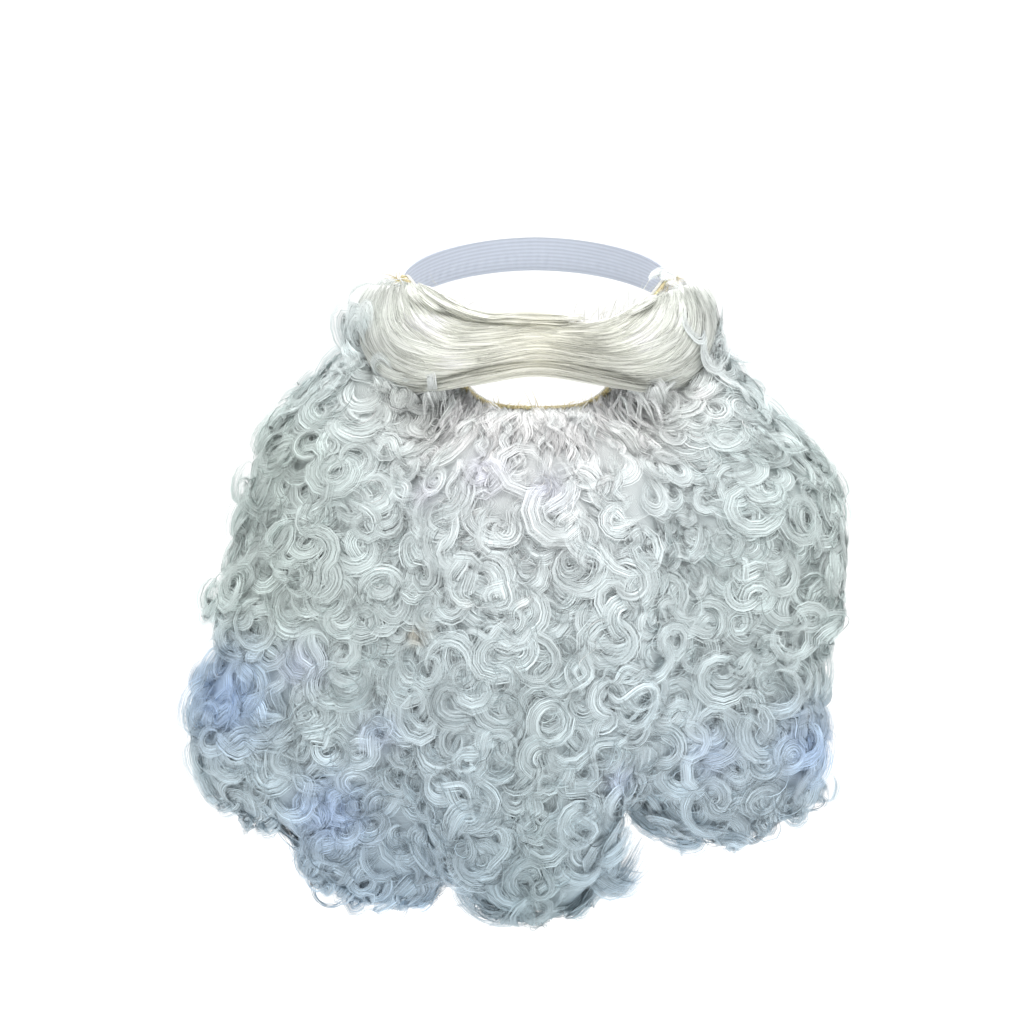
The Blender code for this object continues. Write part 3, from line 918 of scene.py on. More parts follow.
@dataclass
class BeardHair:
    """Curly hair of the beard: a shaded undercoat and locks of striped ribbons and single threads."""

    voxel: float = 5.6 * MM
    sink: float = 2.6 * MM
    spacing: float = 11.0 * MM
    curl_radius: float = 10.0 * MM
    stand_out: float = 0.9
    standing: float = 0.55
    ribbons: int = 1
    threads: int = 5
    back_share: float = 0.36
    fringe: int = 470
    sideburn: int = 150
    axis_y: float = 89.0 * MM
    inside_across: float = 78.0 * MM
    inside_deep: float = 98.0 * MM
    inner_top: float = 18.0 * MM
    inner_side: float = 76.0 * MM
    base_drop: float = 118.0 * MM
    mouth_level: float = -20.0 * MM
    wave_side: float = 50.0 * MM
    wave_level: float = -84.0 * MM
    ring_share: float = 0.78
    rim_side: float = 92.0 * MM
    rim_start: float = 58.0 * MM
    rim_level: float = -33.0 * MM
    spot_depth: float = 95.0 * MM
    sideburn_levels: tuple[float, float] = (-16.0 * MM, 24.0 * MM)
    loop_place: tuple[float, float] = (-116.0 * MM, -317.0 * MM)
    tuft_place: tuple[float, float] = (28.0 * MM, -296.0 * MM)
    pieces: int = 5
    # Colour patches by place: one small beige stain and pale lilac under the mouth; the rest is painted
    # light: grey-green painted shade on the left, white painted light over the shaded creases at the mouth
    # corners, wing rims and sideburn tops, and painted see-through blue where the hair thins.
    stain_and_painted_light_spots: tuple[Spot, ...] = (
        ((-66.0, -173.0), 5.0, (0.62, 0.52, 0.38), 0.75),
        ((-30.0, -84.0), 11.0, (0.80, 0.78, 0.92), 0.55),
        ((6.0, -94.0), 9.0, (0.76, 0.76, 0.92), 0.5),
        ((-62.0, -96.0), 8.0, (0.82, 0.78, 0.90), 0.4),
        ((-130.0, -190.0), 12.0, (0.60, 0.66, 0.88), 0.5),
        ((-172.0, -208.0), 26.0, (0.38, 0.55, 0.86), 0.75),
        ((-114.0, -272.0), 20.0, (0.42, 0.57, 0.86), 0.7),
        ((-86.0, -228.0), 11.0, (0.55, 0.64, 0.86), 0.45),
        ((150.0, -236.0), 22.0, (0.42, 0.58, 0.86), 0.65),
        ((-138.0, -74.0), 26.0, (0.46, 0.53, 0.50), 0.65),
        ((-128.0, -128.0), 16.0, (0.50, 0.57, 0.55), 0.45),
        ((96.0, -240.0), 16.0, (0.50, 0.62, 0.84), 0.5),
        ((44.0, -252.0), 8.0, (0.56, 0.64, 0.84), 0.5),
        ((-78.0, -36.0), 28.0, (0.84, 0.87, 0.84), 0.65),
        ((82.0, -36.0), 28.0, (0.88, 0.90, 0.88), 0.75),
        ((-56.0, -60.0), 20.0, (0.93, 0.94, 0.92), 0.75),
        ((56.0, -60.0), 20.0, (0.94, 0.95, 0.93), 0.75),
        ((-88.0, 20.0), 22.0, (0.84, 0.87, 0.83), 0.7),
        ((88.0, 20.0), 22.0, (0.90, 0.91, 0.88), 0.8),
    )
    round_curls: tuple[tuple[tuple[float, float], float, float], ...] = (
        ((-167.0, -176.0), 12.0, -0.06),
        ((-184.0, -219.0), 11.0, -0.02),
        ((-158.0, -205.0), 11.0, -0.14),
        ((-119.0, -288.0), 14.0, 0.06),
        ((-136.0, -124.0), 14.0, 0.16),
        ((-152.0, -96.0), 10.0, -0.12),
        ((-64.0, -216.0), 14.0, 0.05),
        ((-22.0, -194.0), 17.0, 0.10),
        ((-84.0, -152.0), 13.0, 0.06),
        ((-22.0, -240.0), 13.0, 0.08),
        ((114.0, -108.0), 14.0, 0.05),
        ((143.0, -232.0), 14.0, 0.08),
        ((112.0, -270.0), 12.0, 0.02),
        ((68.0, -236.0), 14.0, 0.07),
        ((92.0, -166.0), 13.0, 0.05),
        ((150.0, -150.0), 12.0, -0.04),
    )

    def tone_at(self, places: np.ndarray) -> np.ndarray:
        """Colour of the hair by place, with painted light and shade: warm white under the mouth where the
        light falls most, painted grey-green shade aside, darker on the left, and painted blue-grey below
        where light shows through thin hair.

        Args:
            places: Places along the last axis.

        Returns:
            Red, green and blue along the last axis.
        """
        low, high = (np.array(corner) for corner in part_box("beard_hair"))
        across = places[..., 0] / high[0]
        down = np.clip((high[2] - places[..., 2]) / (high[2] - low[2]), 0, 1)
        white = np.array([0.92, 0.94, 0.94])
        pale = np.array([0.71, 0.805, 0.82])
        green = np.array([0.60, 0.685, 0.665])
        blue = np.array([0.42, 0.545, 0.66])
        slate = np.array([0.37, 0.475, 0.51])
        # painted light: white in the middle under the mouth, where the light falls most
        centre = np.exp(-((across / 0.42) ** 2) - (np.clip(down - 0.22, 0, 1) / 0.24) ** 2)[..., None]
        # painted shade: grey-green towards the sides, more on the left and less near the top
        aside = np.clip(np.abs(across) * 1.5 - 0.42 - 0.22 * across, 0, 1)[..., None]
        aside = aside * np.clip(down * 4 - 0.1, 0.25, 1)[..., None]
        # painted see-through light: blue-grey below, slate in the middle, where light shows through thin hair
        below = (np.clip(down - 0.5, 0, 1) / 0.5)[..., None] ** 1.4
        colour = pale * (1 - aside) + green * aside
        colour = colour * (1 - centre) + white * centre
        deep = np.clip(1 - np.abs(across) / 0.35, 0, 1)[..., None]
        colour = colour * (1 - below) + (blue * (1 - deep) + slate * deep) * below
        # stain and painted light by place, strongest at the middle of each patch
        for spot, size, tint, amount in self.stain_and_painted_light_spots:
            gap = np.hypot(places[..., 0] - spot[0] * MM, places[..., 2] - spot[1] * MM) / (size * MM)
            share = (amount * np.exp(-(gap**2)) * (places[..., 1] < self.spot_depth))[..., None]
            colour = colour * (1 - share) + np.array(tint) * share
        return colour

    def undercoat(self) -> bpy.types.Object:
        """Makes the shaded body of hair that the locks lie on.

        Returns:
            The object.
        """
        body = soft_body("beard_hair", "beard_undercoat", self.voxel, 8, self.sink)
        paint(body, self.tone_at(point_array(body)) * 0.95)
        body.data.materials.append(UndercoatFinish("undercoat").material())
        return body

    def _may_root(self, places: np.ndarray, normals: np.ndarray) -> np.ndarray:
        """Leaves out roots that the cloth base covers, and part of those at the back.

        Args:
            places: Places on the skin.
            normals: The skin's normals there.

        Returns:
            Which places may hold a root.
        """
        hidden = (normals[:, 1] > 0.35) & (np.sin(places @ CHANCE_BY_PLACE) > 2 * self.back_share - 1)
        inward = np.stack([-places[:, 0], self.axis_y - places[:, 1], np.zeros(len(places))], axis=1)
        facing = np.einsum("ij,ij->i", unit(inward), normals)
        across, deep = places[:, 0] / self.inside_across, (places[:, 1] - self.axis_y) / self.inside_deep
        covered = (facing > 0.1) & (np.hypot(across, deep) < 1.14) & (places[:, 2] > -self.base_drop)
        at_top = (places[:, 2] > self.inner_top) & (np.abs(places[:, 0]) < self.inner_side)
        return ~covered & ~hidden & ~at_top

    def _kinds(self, roots: np.ndarray, rng: np.random.Generator) -> np.ndarray:
        """Chooses a form for each lock.

        Args:
            roots: Root of each lock.
            rng: The seeded source of chance.

        Returns:
            The number of each lock's form.
        """
        kinds = np.where(rng.random(len(roots)) < self.ring_share, Curl.RING.value, Curl.RINGLET.value)
        short = (np.abs(roots[:, 0]) < self.wave_side) & (roots[:, 2] > self.wave_level)
        kinds[short] = Curl.WAVE.value
        return kinds

    def _ring(self, share: np.ndarray, traits: Traits) -> Curve:
        """A short fall that ends in a ring.

        Args:
            share: Shares of the strand's length.
            traits: What sets each strand, as columns.

        Returns:
            The way down, the way aside and the height over the skin, by strand and point.
        """
        fall, radius = traits["fall"], traits["radius"]
        split = fall / (fall + 32 * MM)
        falling = np.clip(share / split, 0, 1)
        curling = np.clip((share - split) / (1 - split), 0, 1)
        angle = traits["sweep"] * curling
        spiral = radius * (1 - 0.35 * curling)
        down = fall * falling + spiral * np.sin(angle)
        side = traits["hand"] * (radius - spiral * np.cos(angle))
        return down, side, 0.5 * MM + 1.4 * MM * np.sin(np.pi * share) + 0 * down

    def _ringlet(self, share: np.ndarray, traits: Traits) -> Curve:
        """A hanging coil.

        Args:
            share: Shares of the strand's length.
            traits: What sets each strand, as columns.

        Returns:
            The way down, the way aside and the height over the skin, by strand and point.
        """
        swing = 2 * np.pi * traits["turns"] * share + traits["phase"]
        grown = 0.35 + 0.65 * share
        down = (traits["fall"] * 1.8 + 16 * MM) * share
        side = traits["hand"] * traits["radius"] * 0.6 * np.cos(swing) * grown
        return down, side, 1.2 * MM + traits["radius"] * 0.26 * (1 + np.sin(swing)) * grown

    def _wave(self, share: np.ndarray, traits: Traits) -> Curve:
        """A loose wave.

        Args:
            share: Shares of the strand's length.
            traits: What sets each strand, as columns.

        Returns:
            The way down, the way aside and the height over the skin, by strand and point.
        """
        swing = 2 * np.pi * (0.8 + traits["turns"] * 0.4) * share + traits["phase"]
        down = (traits["fall"] + 18 * MM) * share
        side = traits["hand"] * 2.6 * MM * np.sin(swing) * (0.3 + share)
        return down, side, 0.8 * MM + 1.6 * MM * (1 + np.cos(swing)) * share

    def _flat_curves(self, steps: int, kinds: np.ndarray, shared: Traits, own: Traits) -> Curve:
        """Curves of strands in the plane of their root.

        Args:
            steps: Points along each strand.
            kinds: The form of each strand's lock.
            shared: What the strands of a lock share, one value per strand.
            own: What differs inside a lock, one value per strand.

        Returns:
            The way down, the way aside and the height over the skin, by strand and point.
        """
        share = shares(steps)
        traits = dict(shared, radius=shared["radius"] * own["radius"], sweep=shared["sweep"] + own["sweep"])
        traits = {name: values[:, None] for name, values in traits.items()}
        forms = [form(share, traits) for form in (self._ring, self._ringlet, self._wave)]
        pick = [kinds[:, None] == form.value for form in Curl]
        down, side, rise = (np.select(pick, list(choices)) for choices in zip(*forms))
        side = side + own["shift"][:, None] * (1 - 0.4 * share)
        down = down + own["drop"][:, None]
        turned = (shared["heading"] * (kinds != Curl.WAVE.value))[:, None] + 0 * down
        aimed_down = down * np.cos(turned) - side * np.sin(turned)
        aimed_side = down * np.sin(turned) + side * np.cos(turned)
        return aimed_down, aimed_side, rise + own["lift"][:, None]

    def _lay(
        self, skin: Surface, roots: np.ndarray, normals: np.ndarray, curve: Curve, stand: np.ndarray
    ) -> tuple[np.ndarray, np.ndarray]:
        """Lays flat curves on the skin.

        Args:
            skin: The skin.
            roots: Root of each strand.
            normals: The skin's normal at each root.
            curve: The way down, the way aside and the height over the skin, by strand and point.
            stand: How far each strand stands out where the skin turns aside.

        Returns:
            The paths and the way that they face.
        """
        down, side, rise = curve
        fan = unit(np.stack([roots[:, 0] * 2.4, np.zeros(len(roots)), -np.ones(len(roots))], axis=1))
        steep = np.abs(np.einsum("ij,ij->i", fan, normals)) > 0.93
        fan[steep] = unit(np.array([0.0, -1.0, -0.4]))
        along = unit(fan - normals * np.einsum("ij,ij->i", fan, normals)[:, None])
        across = unit(np.cross(along, normals))
        open_side = (stand * np.clip((0.62 - np.abs(normals[:, 1])) / 0.4, 0, 1))[:, None, None]
        planned = (
            roots[:, None, :]
            + along[:, None, :] * down[:, :, None]
            + across[:, None, :] * side[:, :, None] * (1 - open_side)
        )
        found, facing = skin.nearest(planned)
        kept = found + (planned - found) * 0.4 + facing * rise[:, :, None]
        kept = kept + normals[:, None, :] * (np.abs(side) - 3 * MM)[:, :, None] * open_side * 0.42
        return smooth_rows(kept, 1), unit(smooth_rows(facing, 3) * (1 - open_side) + FRONT * open_side)

    def _dress(
        self,
        batch: Strands,
        lay: Lay,
        paths: np.ndarray,
        facing: np.ndarray,
        bright: np.ndarray,
        rng: np.random.Generator,
        girth: Any = 1.0,
    ) -> None:
        """Gives paths their size and colour and adds them.

        Args:
            batch: Where they go.
            lay: How they are made.
            paths: The paths.
            facing: The way that they face.
            bright: Lightness shared inside a lock, one value per strand.
            rng: The seeded source of chance.
            girth: A factor for the width, one value or one per strand.
        """
        number, length, _ = paths.shape
        share = shares(length)
        taper = np.clip(np.minimum(share * 4 + 0.3, (1 - share) * 2.6 + 0.06), 0, 1)
        size = (rng.uniform(0.7, 1.25, number) * girth)[:, None] * taper
        # painted highlight on beard strands, worked out from their heading
        light = (0.92 + bright + rng.normal(0, lay.uneven, number))[:, None] * painted_sheen(paths, 0.2)
        tones = np.clip(self.tone_at(paths) * light[:, :, None], 0.05, 0.97)
        seeds = rng.uniform(0, 50, number)
        batch.add(paths, facing, lay.width * size, lay.depth * size, lay.sides, tones, seeds)

    def _own(self, number: int, lay: Lay, rng: np.random.Generator) -> Traits:
        """Draws what differs between the strands of a lock.

        Args:
            number: How many strands.
            lay: How they are made.
            rng: The seeded source of chance.

        Returns:
            One value per strand for each trait.
        """
        return {
            "radius": rng.uniform(0.8 if lay.sides == 4 else 0.4, 1.3, number),
            "sweep": rng.uniform(-0.9, 0.7, number),
            "shift": rng.uniform(-2.0, 2.0, number) * MM * lay.spread,
            "drop": rng.uniform(-2.5, 2.5, number) * MM * lay.spread,
            "lift": rng.uniform(0, 2.4, number) * MM + lay.raise_by,
        }

    def _at_wing_rim(self, places: np.ndarray, normals: np.ndarray) -> np.ndarray:
        """Allows roots only at the lower and outer rim of the moustache's wings.

        Args:
            places: Places on the wings.
            normals: The wings' normals there.

        Returns:
            Which places may hold a root.
        """
        aside, up = np.abs(places[:, 0]), places[:, 2]
        outer = (aside > self.rim_side) & (up < -2 * MM)
        lower = (up < self.rim_level) & (aside > self.rim_start) & (normals[:, 2] < -0.35)
        return (outer | lower) & (normals[:, 1] < 0.5)

    def locks(
        self, undercoat: Surface, wings: Surface, skin: Surface, rng: np.random.Generator
    ) -> list[bpy.types.Object]:
        """Makes all the locks.

        Args:
            undercoat: The skin under the curly hair.
            wings: The skin under the moustache's strands.
            skin: Both.
            rng: The seeded source of chance.

        Returns:
            The pieces.
        """
        rooted = undercoat.scatter(self.spacing, rng, self._may_root)
        at_rim = wings.scatter(self.spacing * 0.8, rng, self._at_wing_rim)
        roots, normals = (np.concatenate(pair) for pair in zip(rooted, at_rim))
        kinds = self._kinds(roots, rng)
        count = len(roots)
        chance = {
            "fall": rng.uniform(1, 12, count) * MM,
            "hand": rng.choice([-1.0, 1.0], count),
            "radius": self.curl_radius * rng.uniform(0.65, 1.4, count),
            "sweep": rng.uniform(1.1, 2.4, count) * math.pi,
            "turns": rng.uniform(1.0, 1.9, count),
            "phase": rng.uniform(0, 2 * math.pi, count),
            "heading": rng.normal(0, 1.0, count),
            "bright": rng.normal(0, 0.035, count),
            "stand": self.stand_out * (rng.random(count) < self.standing),
        }
        LOG.info("beard: %d locks", count)
        finish = HairFinish("curly_hair").material()
        made = []
        for number, group in enumerate(np.array_split(np.argsort(roots[:, 0]), self.pieces)):
            batch = Strands(f"beard_locks_{number + 1}")
            for lay, each in ((RIBBON, self.ribbons), (SILK, self.ribbons), (THREAD, self.threads)):
                index = np.repeat(group, each)
                shared = {name: values[index] for name, values in chance.items()}
                shared["hand"] = shared["hand"] * (-1.0 if lay is SILK else 1.0)
                own = self._own(len(index), lay, rng)
                curve = self._flat_curves(lay.steps, kinds[index], shared, own)
                paths, facing = self._lay(skin, roots[index], normals[index], curve, shared["stand"])
                narrow = np.where((kinds[index] == Curl.WAVE.value) & (lay.sides == 4), 0.5, 1.0)
                self._dress(batch, lay, paths, facing, shared["bright"], rng, narrow)
            made.append(batch.build(finish))
        return made

    def edge_hair(self, skin: Surface, rng: np.random.Generator) -> bpy.types.Object:
        """Makes the hair that starts at the sewn edge, and the single curls on top.

        Args:
            skin: The undercoat.
            rng: The seeded source of chance.

        Returns:
            The piece.
        """
        line, _ = tube_route("beard_weft_edge")
        line = resampled(line, 400)
        low, high = self.sideburn_levels
        batch = Strands("beard_edge_hair")
        self._mouth_fringe(batch, skin, line[line[:, 2] < self.mouth_level], rng)
        self._sideburn_hair(batch, skin, line[(line[:, 2] > low) & (line[:, 2] < high)], rng)
        self._large_curls(batch, skin, rng)
        self._free_loop(batch, rng)
        self._notch_tuft(batch, rng)
        return batch.build(HairFinish("edge_hair").material())

    def _mouth_fringe(
        self, batch: Strands, skin: Surface, line: np.ndarray, rng: np.random.Generator
    ) -> None:
        """Adds the wavy hair under the mouth opening.

        Args:
            batch: Where it goes.
            skin: The undercoat.
            line: The edge that it starts from.
            rng: The seeded source of chance.
        """
        for lay, part in ((SILK, 0.4), (THREAD, 0.9)):
            number = int(self.fringe * part)
            share = shares(lay.steps)
            roots = line[rng.integers(0, len(line), number)] + rng.normal(0, 0.5 * MM, (number, 3))
            corner = np.clip(np.abs(roots[:, :1]) / (30 * MM) - 0.6, 0, 1)
            reach = rng.uniform(12, 36, number)[:, None] * MM * (1 - 0.4 * corner)
            wave = 2 * np.pi * rng.uniform(0.6, 1.7, number)[:, None] * share
            wave = wave + rng.uniform(0, 6.3, number)[:, None]
            sway = rng.uniform(2.0, 6.5, number)[:, None] * MM * np.sin(wave) * share
            x = roots[:, :1] * (1 + 0.35 * share) + sway + rng.normal(0, 9 * MM, number)[:, None] * share
            z = roots[:, 2:] - reach * share
            out = rng.uniform(1, 5, number)[:, None] * MM * share**0.4
            y = roots[:, 1:2] - reach * 0.75 * share**0.8 - out
            self._settle(batch, lay, skin, np.stack([x, y, z], axis=-1), rng)

    def _sideburn_hair(
        self, batch: Strands, skin: Surface, line: np.ndarray, rng: np.random.Generator
    ) -> None:
        """Adds the hair swept outward at both sideburns.

        Args:
            batch: Where it goes.
            skin: The undercoat.
            line: The edge that it starts from.
            rng: The seeded source of chance.
        """
        for lay, part in ((SILK, 0.8), (THREAD, 1.2)):
            number = int(self.sideburn * part)
            share = shares(lay.steps)
            roots = line[rng.integers(0, len(line), number)] + rng.normal(0, 0.6 * MM, (number, 3))
            away = np.sign(roots[:, :1])
            reach = rng.uniform(18, 44, number)[:, None] * MM
            turn = rng.uniform(0.5, 1.5, number)[:, None] * share * 1.5
            x = roots[:, :1] + away * (reach * 0.8 * np.sin(turn + 0.25) * share**0.8 + 1.5 * MM)
            z = roots[:, 2:] + reach * (0.12 * np.sin(turn * 2) - 0.85 * share**1.7)
            y = roots[:, 1:2] + reach * 0.12 * share - 4 * MM * np.sin(np.pi * share)
            self._settle(batch, lay, skin, np.stack([x, y, z], axis=-1), rng)

    def _large_curls(self, batch: Strands, skin: Surface, rng: np.random.Generator) -> None:
        """Adds the large round curls that lie on top.

        Args:
            batch: Where they go.
            skin: The skin.
            rng: The seeded source of chance.
        """
        for place, size, light in self.round_curls:
            begin, hand = rng.uniform(0, 2 * math.pi), rng.choice([-1.0, 1.0])
            for lay, number in ((SILK, 2), (THREAD, 16)):
                share = shares(lay.steps)
                least = 0.5 if lay is THREAD else 0.8
                radius = size * MM * rng.uniform(least, 1.1, number)[:, None] * (1 - 0.2 * share)
                turn = begin + rng.normal(0, 0.5, number)[:, None]
                turn = turn + hand * share * rng.uniform(4.2, 6.0, number)[:, None]
                x = place[0] * MM + radius * np.cos(turn) + rng.normal(0, 0.9, number)[:, None] * MM
                z = place[1] * MM + radius * np.sin(turn) + rng.normal(0, 0.9, number)[:, None] * MM
                found, _ = skin.struck(
                    np.stack([x, 0 * x - 0.2, z], axis=-1), np.stack([x, 0 * x + 0.1, z], axis=-1)
                )
                middle = np.median(found[..., 1])
                y = np.clip(found[..., 1], middle - 5 * MM, middle + 5 * MM)
                y = y - rng.uniform(1.6, 4.0, number)[:, None] * MM - lay.raise_by
                facing = np.broadcast_to(FRONT, found.shape)
                paths = smooth_rows(np.stack([x, y, z], axis=-1), 1)
                self._dress(batch, lay, paths, facing, np.full(number, light), rng)

    def _free_loop(self, batch: Strands, rng: np.random.Generator) -> None:
        """Adds the free round curl at the lower left.

        Args:
            batch: Where it goes.
            rng: The seeded source of chance.
        """
        number, share = 7, shares(30)
        radius = rng.uniform(9.0, 11.5, number)[:, None] * MM * (1 - 0.12 * share)
        turn = 0.9 + share * rng.uniform(5.2, 6.4, number)[:, None]
        x = self.loop_place[0] + radius * np.cos(turn) + rng.normal(0, 0.8, number)[:, None] * MM
        z = self.loop_place[1] + radius * np.sin(turn) + rng.normal(0, 0.8, number)[:, None] * MM
        y = 4 * MM + 5 * MM * share + rng.normal(0, 1.5, number)[:, None] * MM
        paths = np.stack([x, y + 0 * x, z], axis=-1)
        facing = np.broadcast_to(FRONT, paths.shape)
        self._dress(batch, THREAD, paths, facing, np.full(number, 0.12), rng)

    def _notch_tuft(self, batch: Strands, rng: np.random.Generator) -> None:
        """Adds the tuft beside the notch at the lower right.

        Args:
            batch: Where it goes.
            rng: The seeded source of chance.
        """
        for lay, number in ((RIBBON, 9), (THREAD, 40)):
            share = shares(lay.steps)
            start = rng.uniform(-12, 6, number)[:, None] * MM
            bend = rng.uniform(0.5, 1.3, number)[:, None]
            x = self.tuft_place[0] + start + 30 * MM * share * rng.uniform(0.8, 1.15, number)[:, None]
            z = self.tuft_place[1] - 15 * MM * np.sin(np.pi * share * bend) - start * 0.4
            z = z + rng.normal(0, 3, number)[:, None] * MM
            y = -14 * MM + 12 * MM * share + rng.normal(0, 4, number)[:, None] * MM
            paths = np.stack([x, y + 0 * x, z], axis=-1)
            facing = np.broadcast_to(np.array([0.1, -1.0, 0.0]), paths.shape)
            self._dress(batch, lay, paths, facing, np.zeros(number), rng)

    def _settle(
        self, batch: Strands, lay: Lay, skin: Surface, planned: np.ndarray, rng: np.random.Generator
    ) -> None:
        """Lets free strands fall onto the skin towards their tips.

        Args:
            batch: Where they go.
            lay: How they are made.
            skin: The skin.
            planned: Their free paths.
            rng: The seeded source of chance.
        """
        number, length, _ = planned.shape
        found, facing = skin.nearest(planned)
        over = np.einsum("ijk,ijk->ij", planned - found, facing)
        lift = rng.uniform(0.8, 3.2, number)[:, None] * MM
        raised = np.where(over < lift, 1.0, np.clip(shares(length) * 1.4 - 0.4, 0, 1))[:, :, None]
        paths = planned * (1 - raised) + (found + facing * lift[:, :, None]) * raised
        outward = np.stack([planned[..., 0] * 4, planned[..., 1] - self.axis_y, 0 * planned[..., 0]], axis=-1)
        facing = unit(smooth_rows(unit(facing * raised + unit(outward) * (1 - raised)), 4))
        # painted light: hair from the sewn edge is made about 12% lighter, lifting the shade beside the mouth
        # corners
        self._dress(batch, lay, smooth_rows(paths, 3), facing, rng.normal(0.12, 0.03, number), rng)

    def make(self, wings: bpy.types.Object, rng: np.random.Generator) -> None:
        """Builds and rides every piece of the beard's hair.

        Args:
            wings: The body under the moustache's strands.
            rng: The seeded source of chance.
        """
        body = self.undercoat()
        skin = Surface(body, wings)
        locks = self.locks(Surface(body), Surface(wings), skin, rng)
        for piece in (body, *locks, self.edge_hair(skin, rng)):
            declare(piece, "beard_hair")


@dataclass
class Moustache:
    """Straight silky hair combed from the middle to both tips, where it turns up to the sideburns."""

    voxel: float = 3.0 * MM
    sink: float = 0.8 * MM
    axis_y: float = 86.0 * MM
    half_width: float = 104.0 * MM
    threads: int = 450
    ribbons: int = 330
    veil: int = 70
    crossing: float = 0.4
    top_line: Line = (
        (0, -3), (24, -3.4), (36, -1.5), (47, 4), (55, 9), (61, 13), (66, 17),
    )
    outer_line: Line = (
        (0, -24), (28, -30), (50, -34), (68, -36), (84, -32),
        (95, -22), (101, -9), (101, 4), (97, 15), (90, 24),
    )
    loose_line: Line = (
        (0, -24), (28, -30), (50, -35), (70, -39), (88, -39), (98, -34), (105, -23),
    )
    # Painted highlights (positive amounts) and painted shade (negative amounts), by place in the front view.
    painted_light: tuple[tuple[tuple[float, float], float, float], ...] = (
        ((-62.0, 0.0), 16.0, 0.22),
        ((-50.0, -22.0), 12.0, 0.18),
        ((56.0, -10.0), 17.0, 0.24),
        ((80.0, -2.0), 12.0, 0.12),
        ((0.0, -12.0), 20.0, 0.12),
        ((-90.0, -14.0), 15.0, -0.2),
        ((-76.0, -30.0), 12.0, -0.08),
        ((-28.0, -18.0), 10.0, -0.04),
        ((30.0, -6.0), 9.0, -0.04),
        ((94.0, -22.0), 12.0, -0.05),
    )

    def tone_at(self, places: np.ndarray) -> np.ndarray:
        """Colour of the moustache by place: ivory in the middle, cooler at the tips, with painted highlights
        and painted shade in places.

        Args:
            places: Places along the last axis.

        Returns:
            Red, green and blue along the last axis.
        """
        across = np.clip(np.abs(places[..., 0]) / 0.1, 0, 1)[..., None]
        ivory = np.array([0.89, 0.88, 0.77])
        cool = np.array([0.83, 0.865, 0.82])
        light = np.ones(places.shape[:-1])
        # painted highlight and painted shade, brighter or darker by place
        for spot, size, amount in self.painted_light:
            aside, up = places[..., 0] - spot[0] * MM, places[..., 2] - spot[1] * MM
            apart = np.linalg.norm(np.stack([aside, up * 1.5], axis=-1), axis=-1)
            light = light + amount * np.exp(-((apart / (size * MM)) ** 2))
        return (ivory * (1 - across) + cool * across) * light[..., None]

    def body(self) -> bpy.types.Object:
        """Makes the shaded body under the strands.

        Returns:
            The object.
        """
        body = soft_body("moustache_hair", "moustache_undercoat", self.voxel, 3, self.sink)
        paint(body, self.tone_at(point_array(body)))
        body.data.materials.append(UndercoatFinish("moustache_undercoat", straight=True).material())
        return body

    def _planned(
        self, lay: Lay, number: int, side: float, rng: np.random.Generator
    ) -> tuple[np.ndarray, np.ndarray]:
        """Plans strands of one wing in the front view, combed between its guide lines.

        Args:
            lay: How they are made.
            number: How many.
            side: -1 for the left wing, 1 for the right.
            rng: The seeded source of chance.

        Returns:
            Places aside and up, by strand and point.
        """
        share = shares(lay.steps)
        start = rng.uniform(-self.crossing, 0.6, number)[:, None]
        reach = rng.uniform(0.4, 0.9, number)[:, None]
        end = np.clip(start + reach, 0.45, rng.uniform(0.8, 1.06, number)[:, None])
        along = start + (end - start) * share
        level = rng.uniform(-0.04, 1.03, number)[:, None]
        level = np.clip(level + rng.normal(0, 0.03, number)[:, None] * along, 0, 1.1)
        free = (rng.uniform(0, 1, number) * (rng.random(number) < 0.2))[:, None]
        lines = (self.top_line, self.outer_line, self.loose_line)
        top, outer, loose = (self._guide(line, np.abs(along)) for line in lines)
        low = outer + (loose - outer) * free[:, :, None]
        top = top + np.array([0.0, 0.2 * MM - 3.2 * MM * side])
        flat = top + (low - top) * level[:, :, None]
        x = flat[..., 0] * np.where(along < 0, -1.0, 1.0) * side
        return x, flat[..., 1] + rng.normal(0, 0.8, number)[:, None] * MM * np.sin(np.pi * share)

    def _on_skin(self, skin: Surface, x: np.ndarray, z: np.ndarray) -> tuple[np.ndarray, np.ndarray]:
        """Finds the places of the skin that lie behind places in the front view.

        Args:
            skin: The body under the strands.
            x: Places aside.
            z: Places up.

        Returns:
            The places on the skin and its normals.
        """
        angle = np.arcsin(np.clip(x / self.half_width, -0.96, 0.96))
        for _ in range(3):
            outside = np.stack([0.2 * np.sin(angle), self.axis_y - 0.2 * np.cos(angle), z], axis=-1)
            inside = np.stack([0 * angle, self.axis_y + 0 * angle, z], axis=-1)
            found, facing = skin.struck(outside, inside)
            angle = np.clip(angle + (x - found[..., 0]) / (0.1 * np.cos(angle) + 0.04), -1.45, 1.45)
        missed = np.clip(np.abs(found[..., 2] - z) / (2 * MM), 0, 1)[..., None]
        return found + (np.stack([x, found[..., 1], z], axis=-1) - found) * missed, facing

    def _paths(
        self, skin: Surface, lay: Lay, number: int, side: float, rng: np.random.Generator
    ) -> tuple[np.ndarray, np.ndarray]:
        """Paths of strands on one wing.

        Args:
            skin: The body under them.
            lay: How they are made.
            number: How many.
            side: -1 for the left wing, 1 for the right.
            rng: The seeded source of chance.

        Returns:
            The paths and the way that they face.
        """
        found, facing = self._on_skin(skin, *self._planned(lay, number, side, rng))
        lift = rng.uniform(0.2, 2.4, number)[:, None] * MM + lay.raise_by
        lift = lift + 0.8 * MM * np.sin(np.pi * shares(lay.steps))
        return smooth_rows(found + facing * lift[:, :, None], 4), unit(smooth_rows(facing, 5))

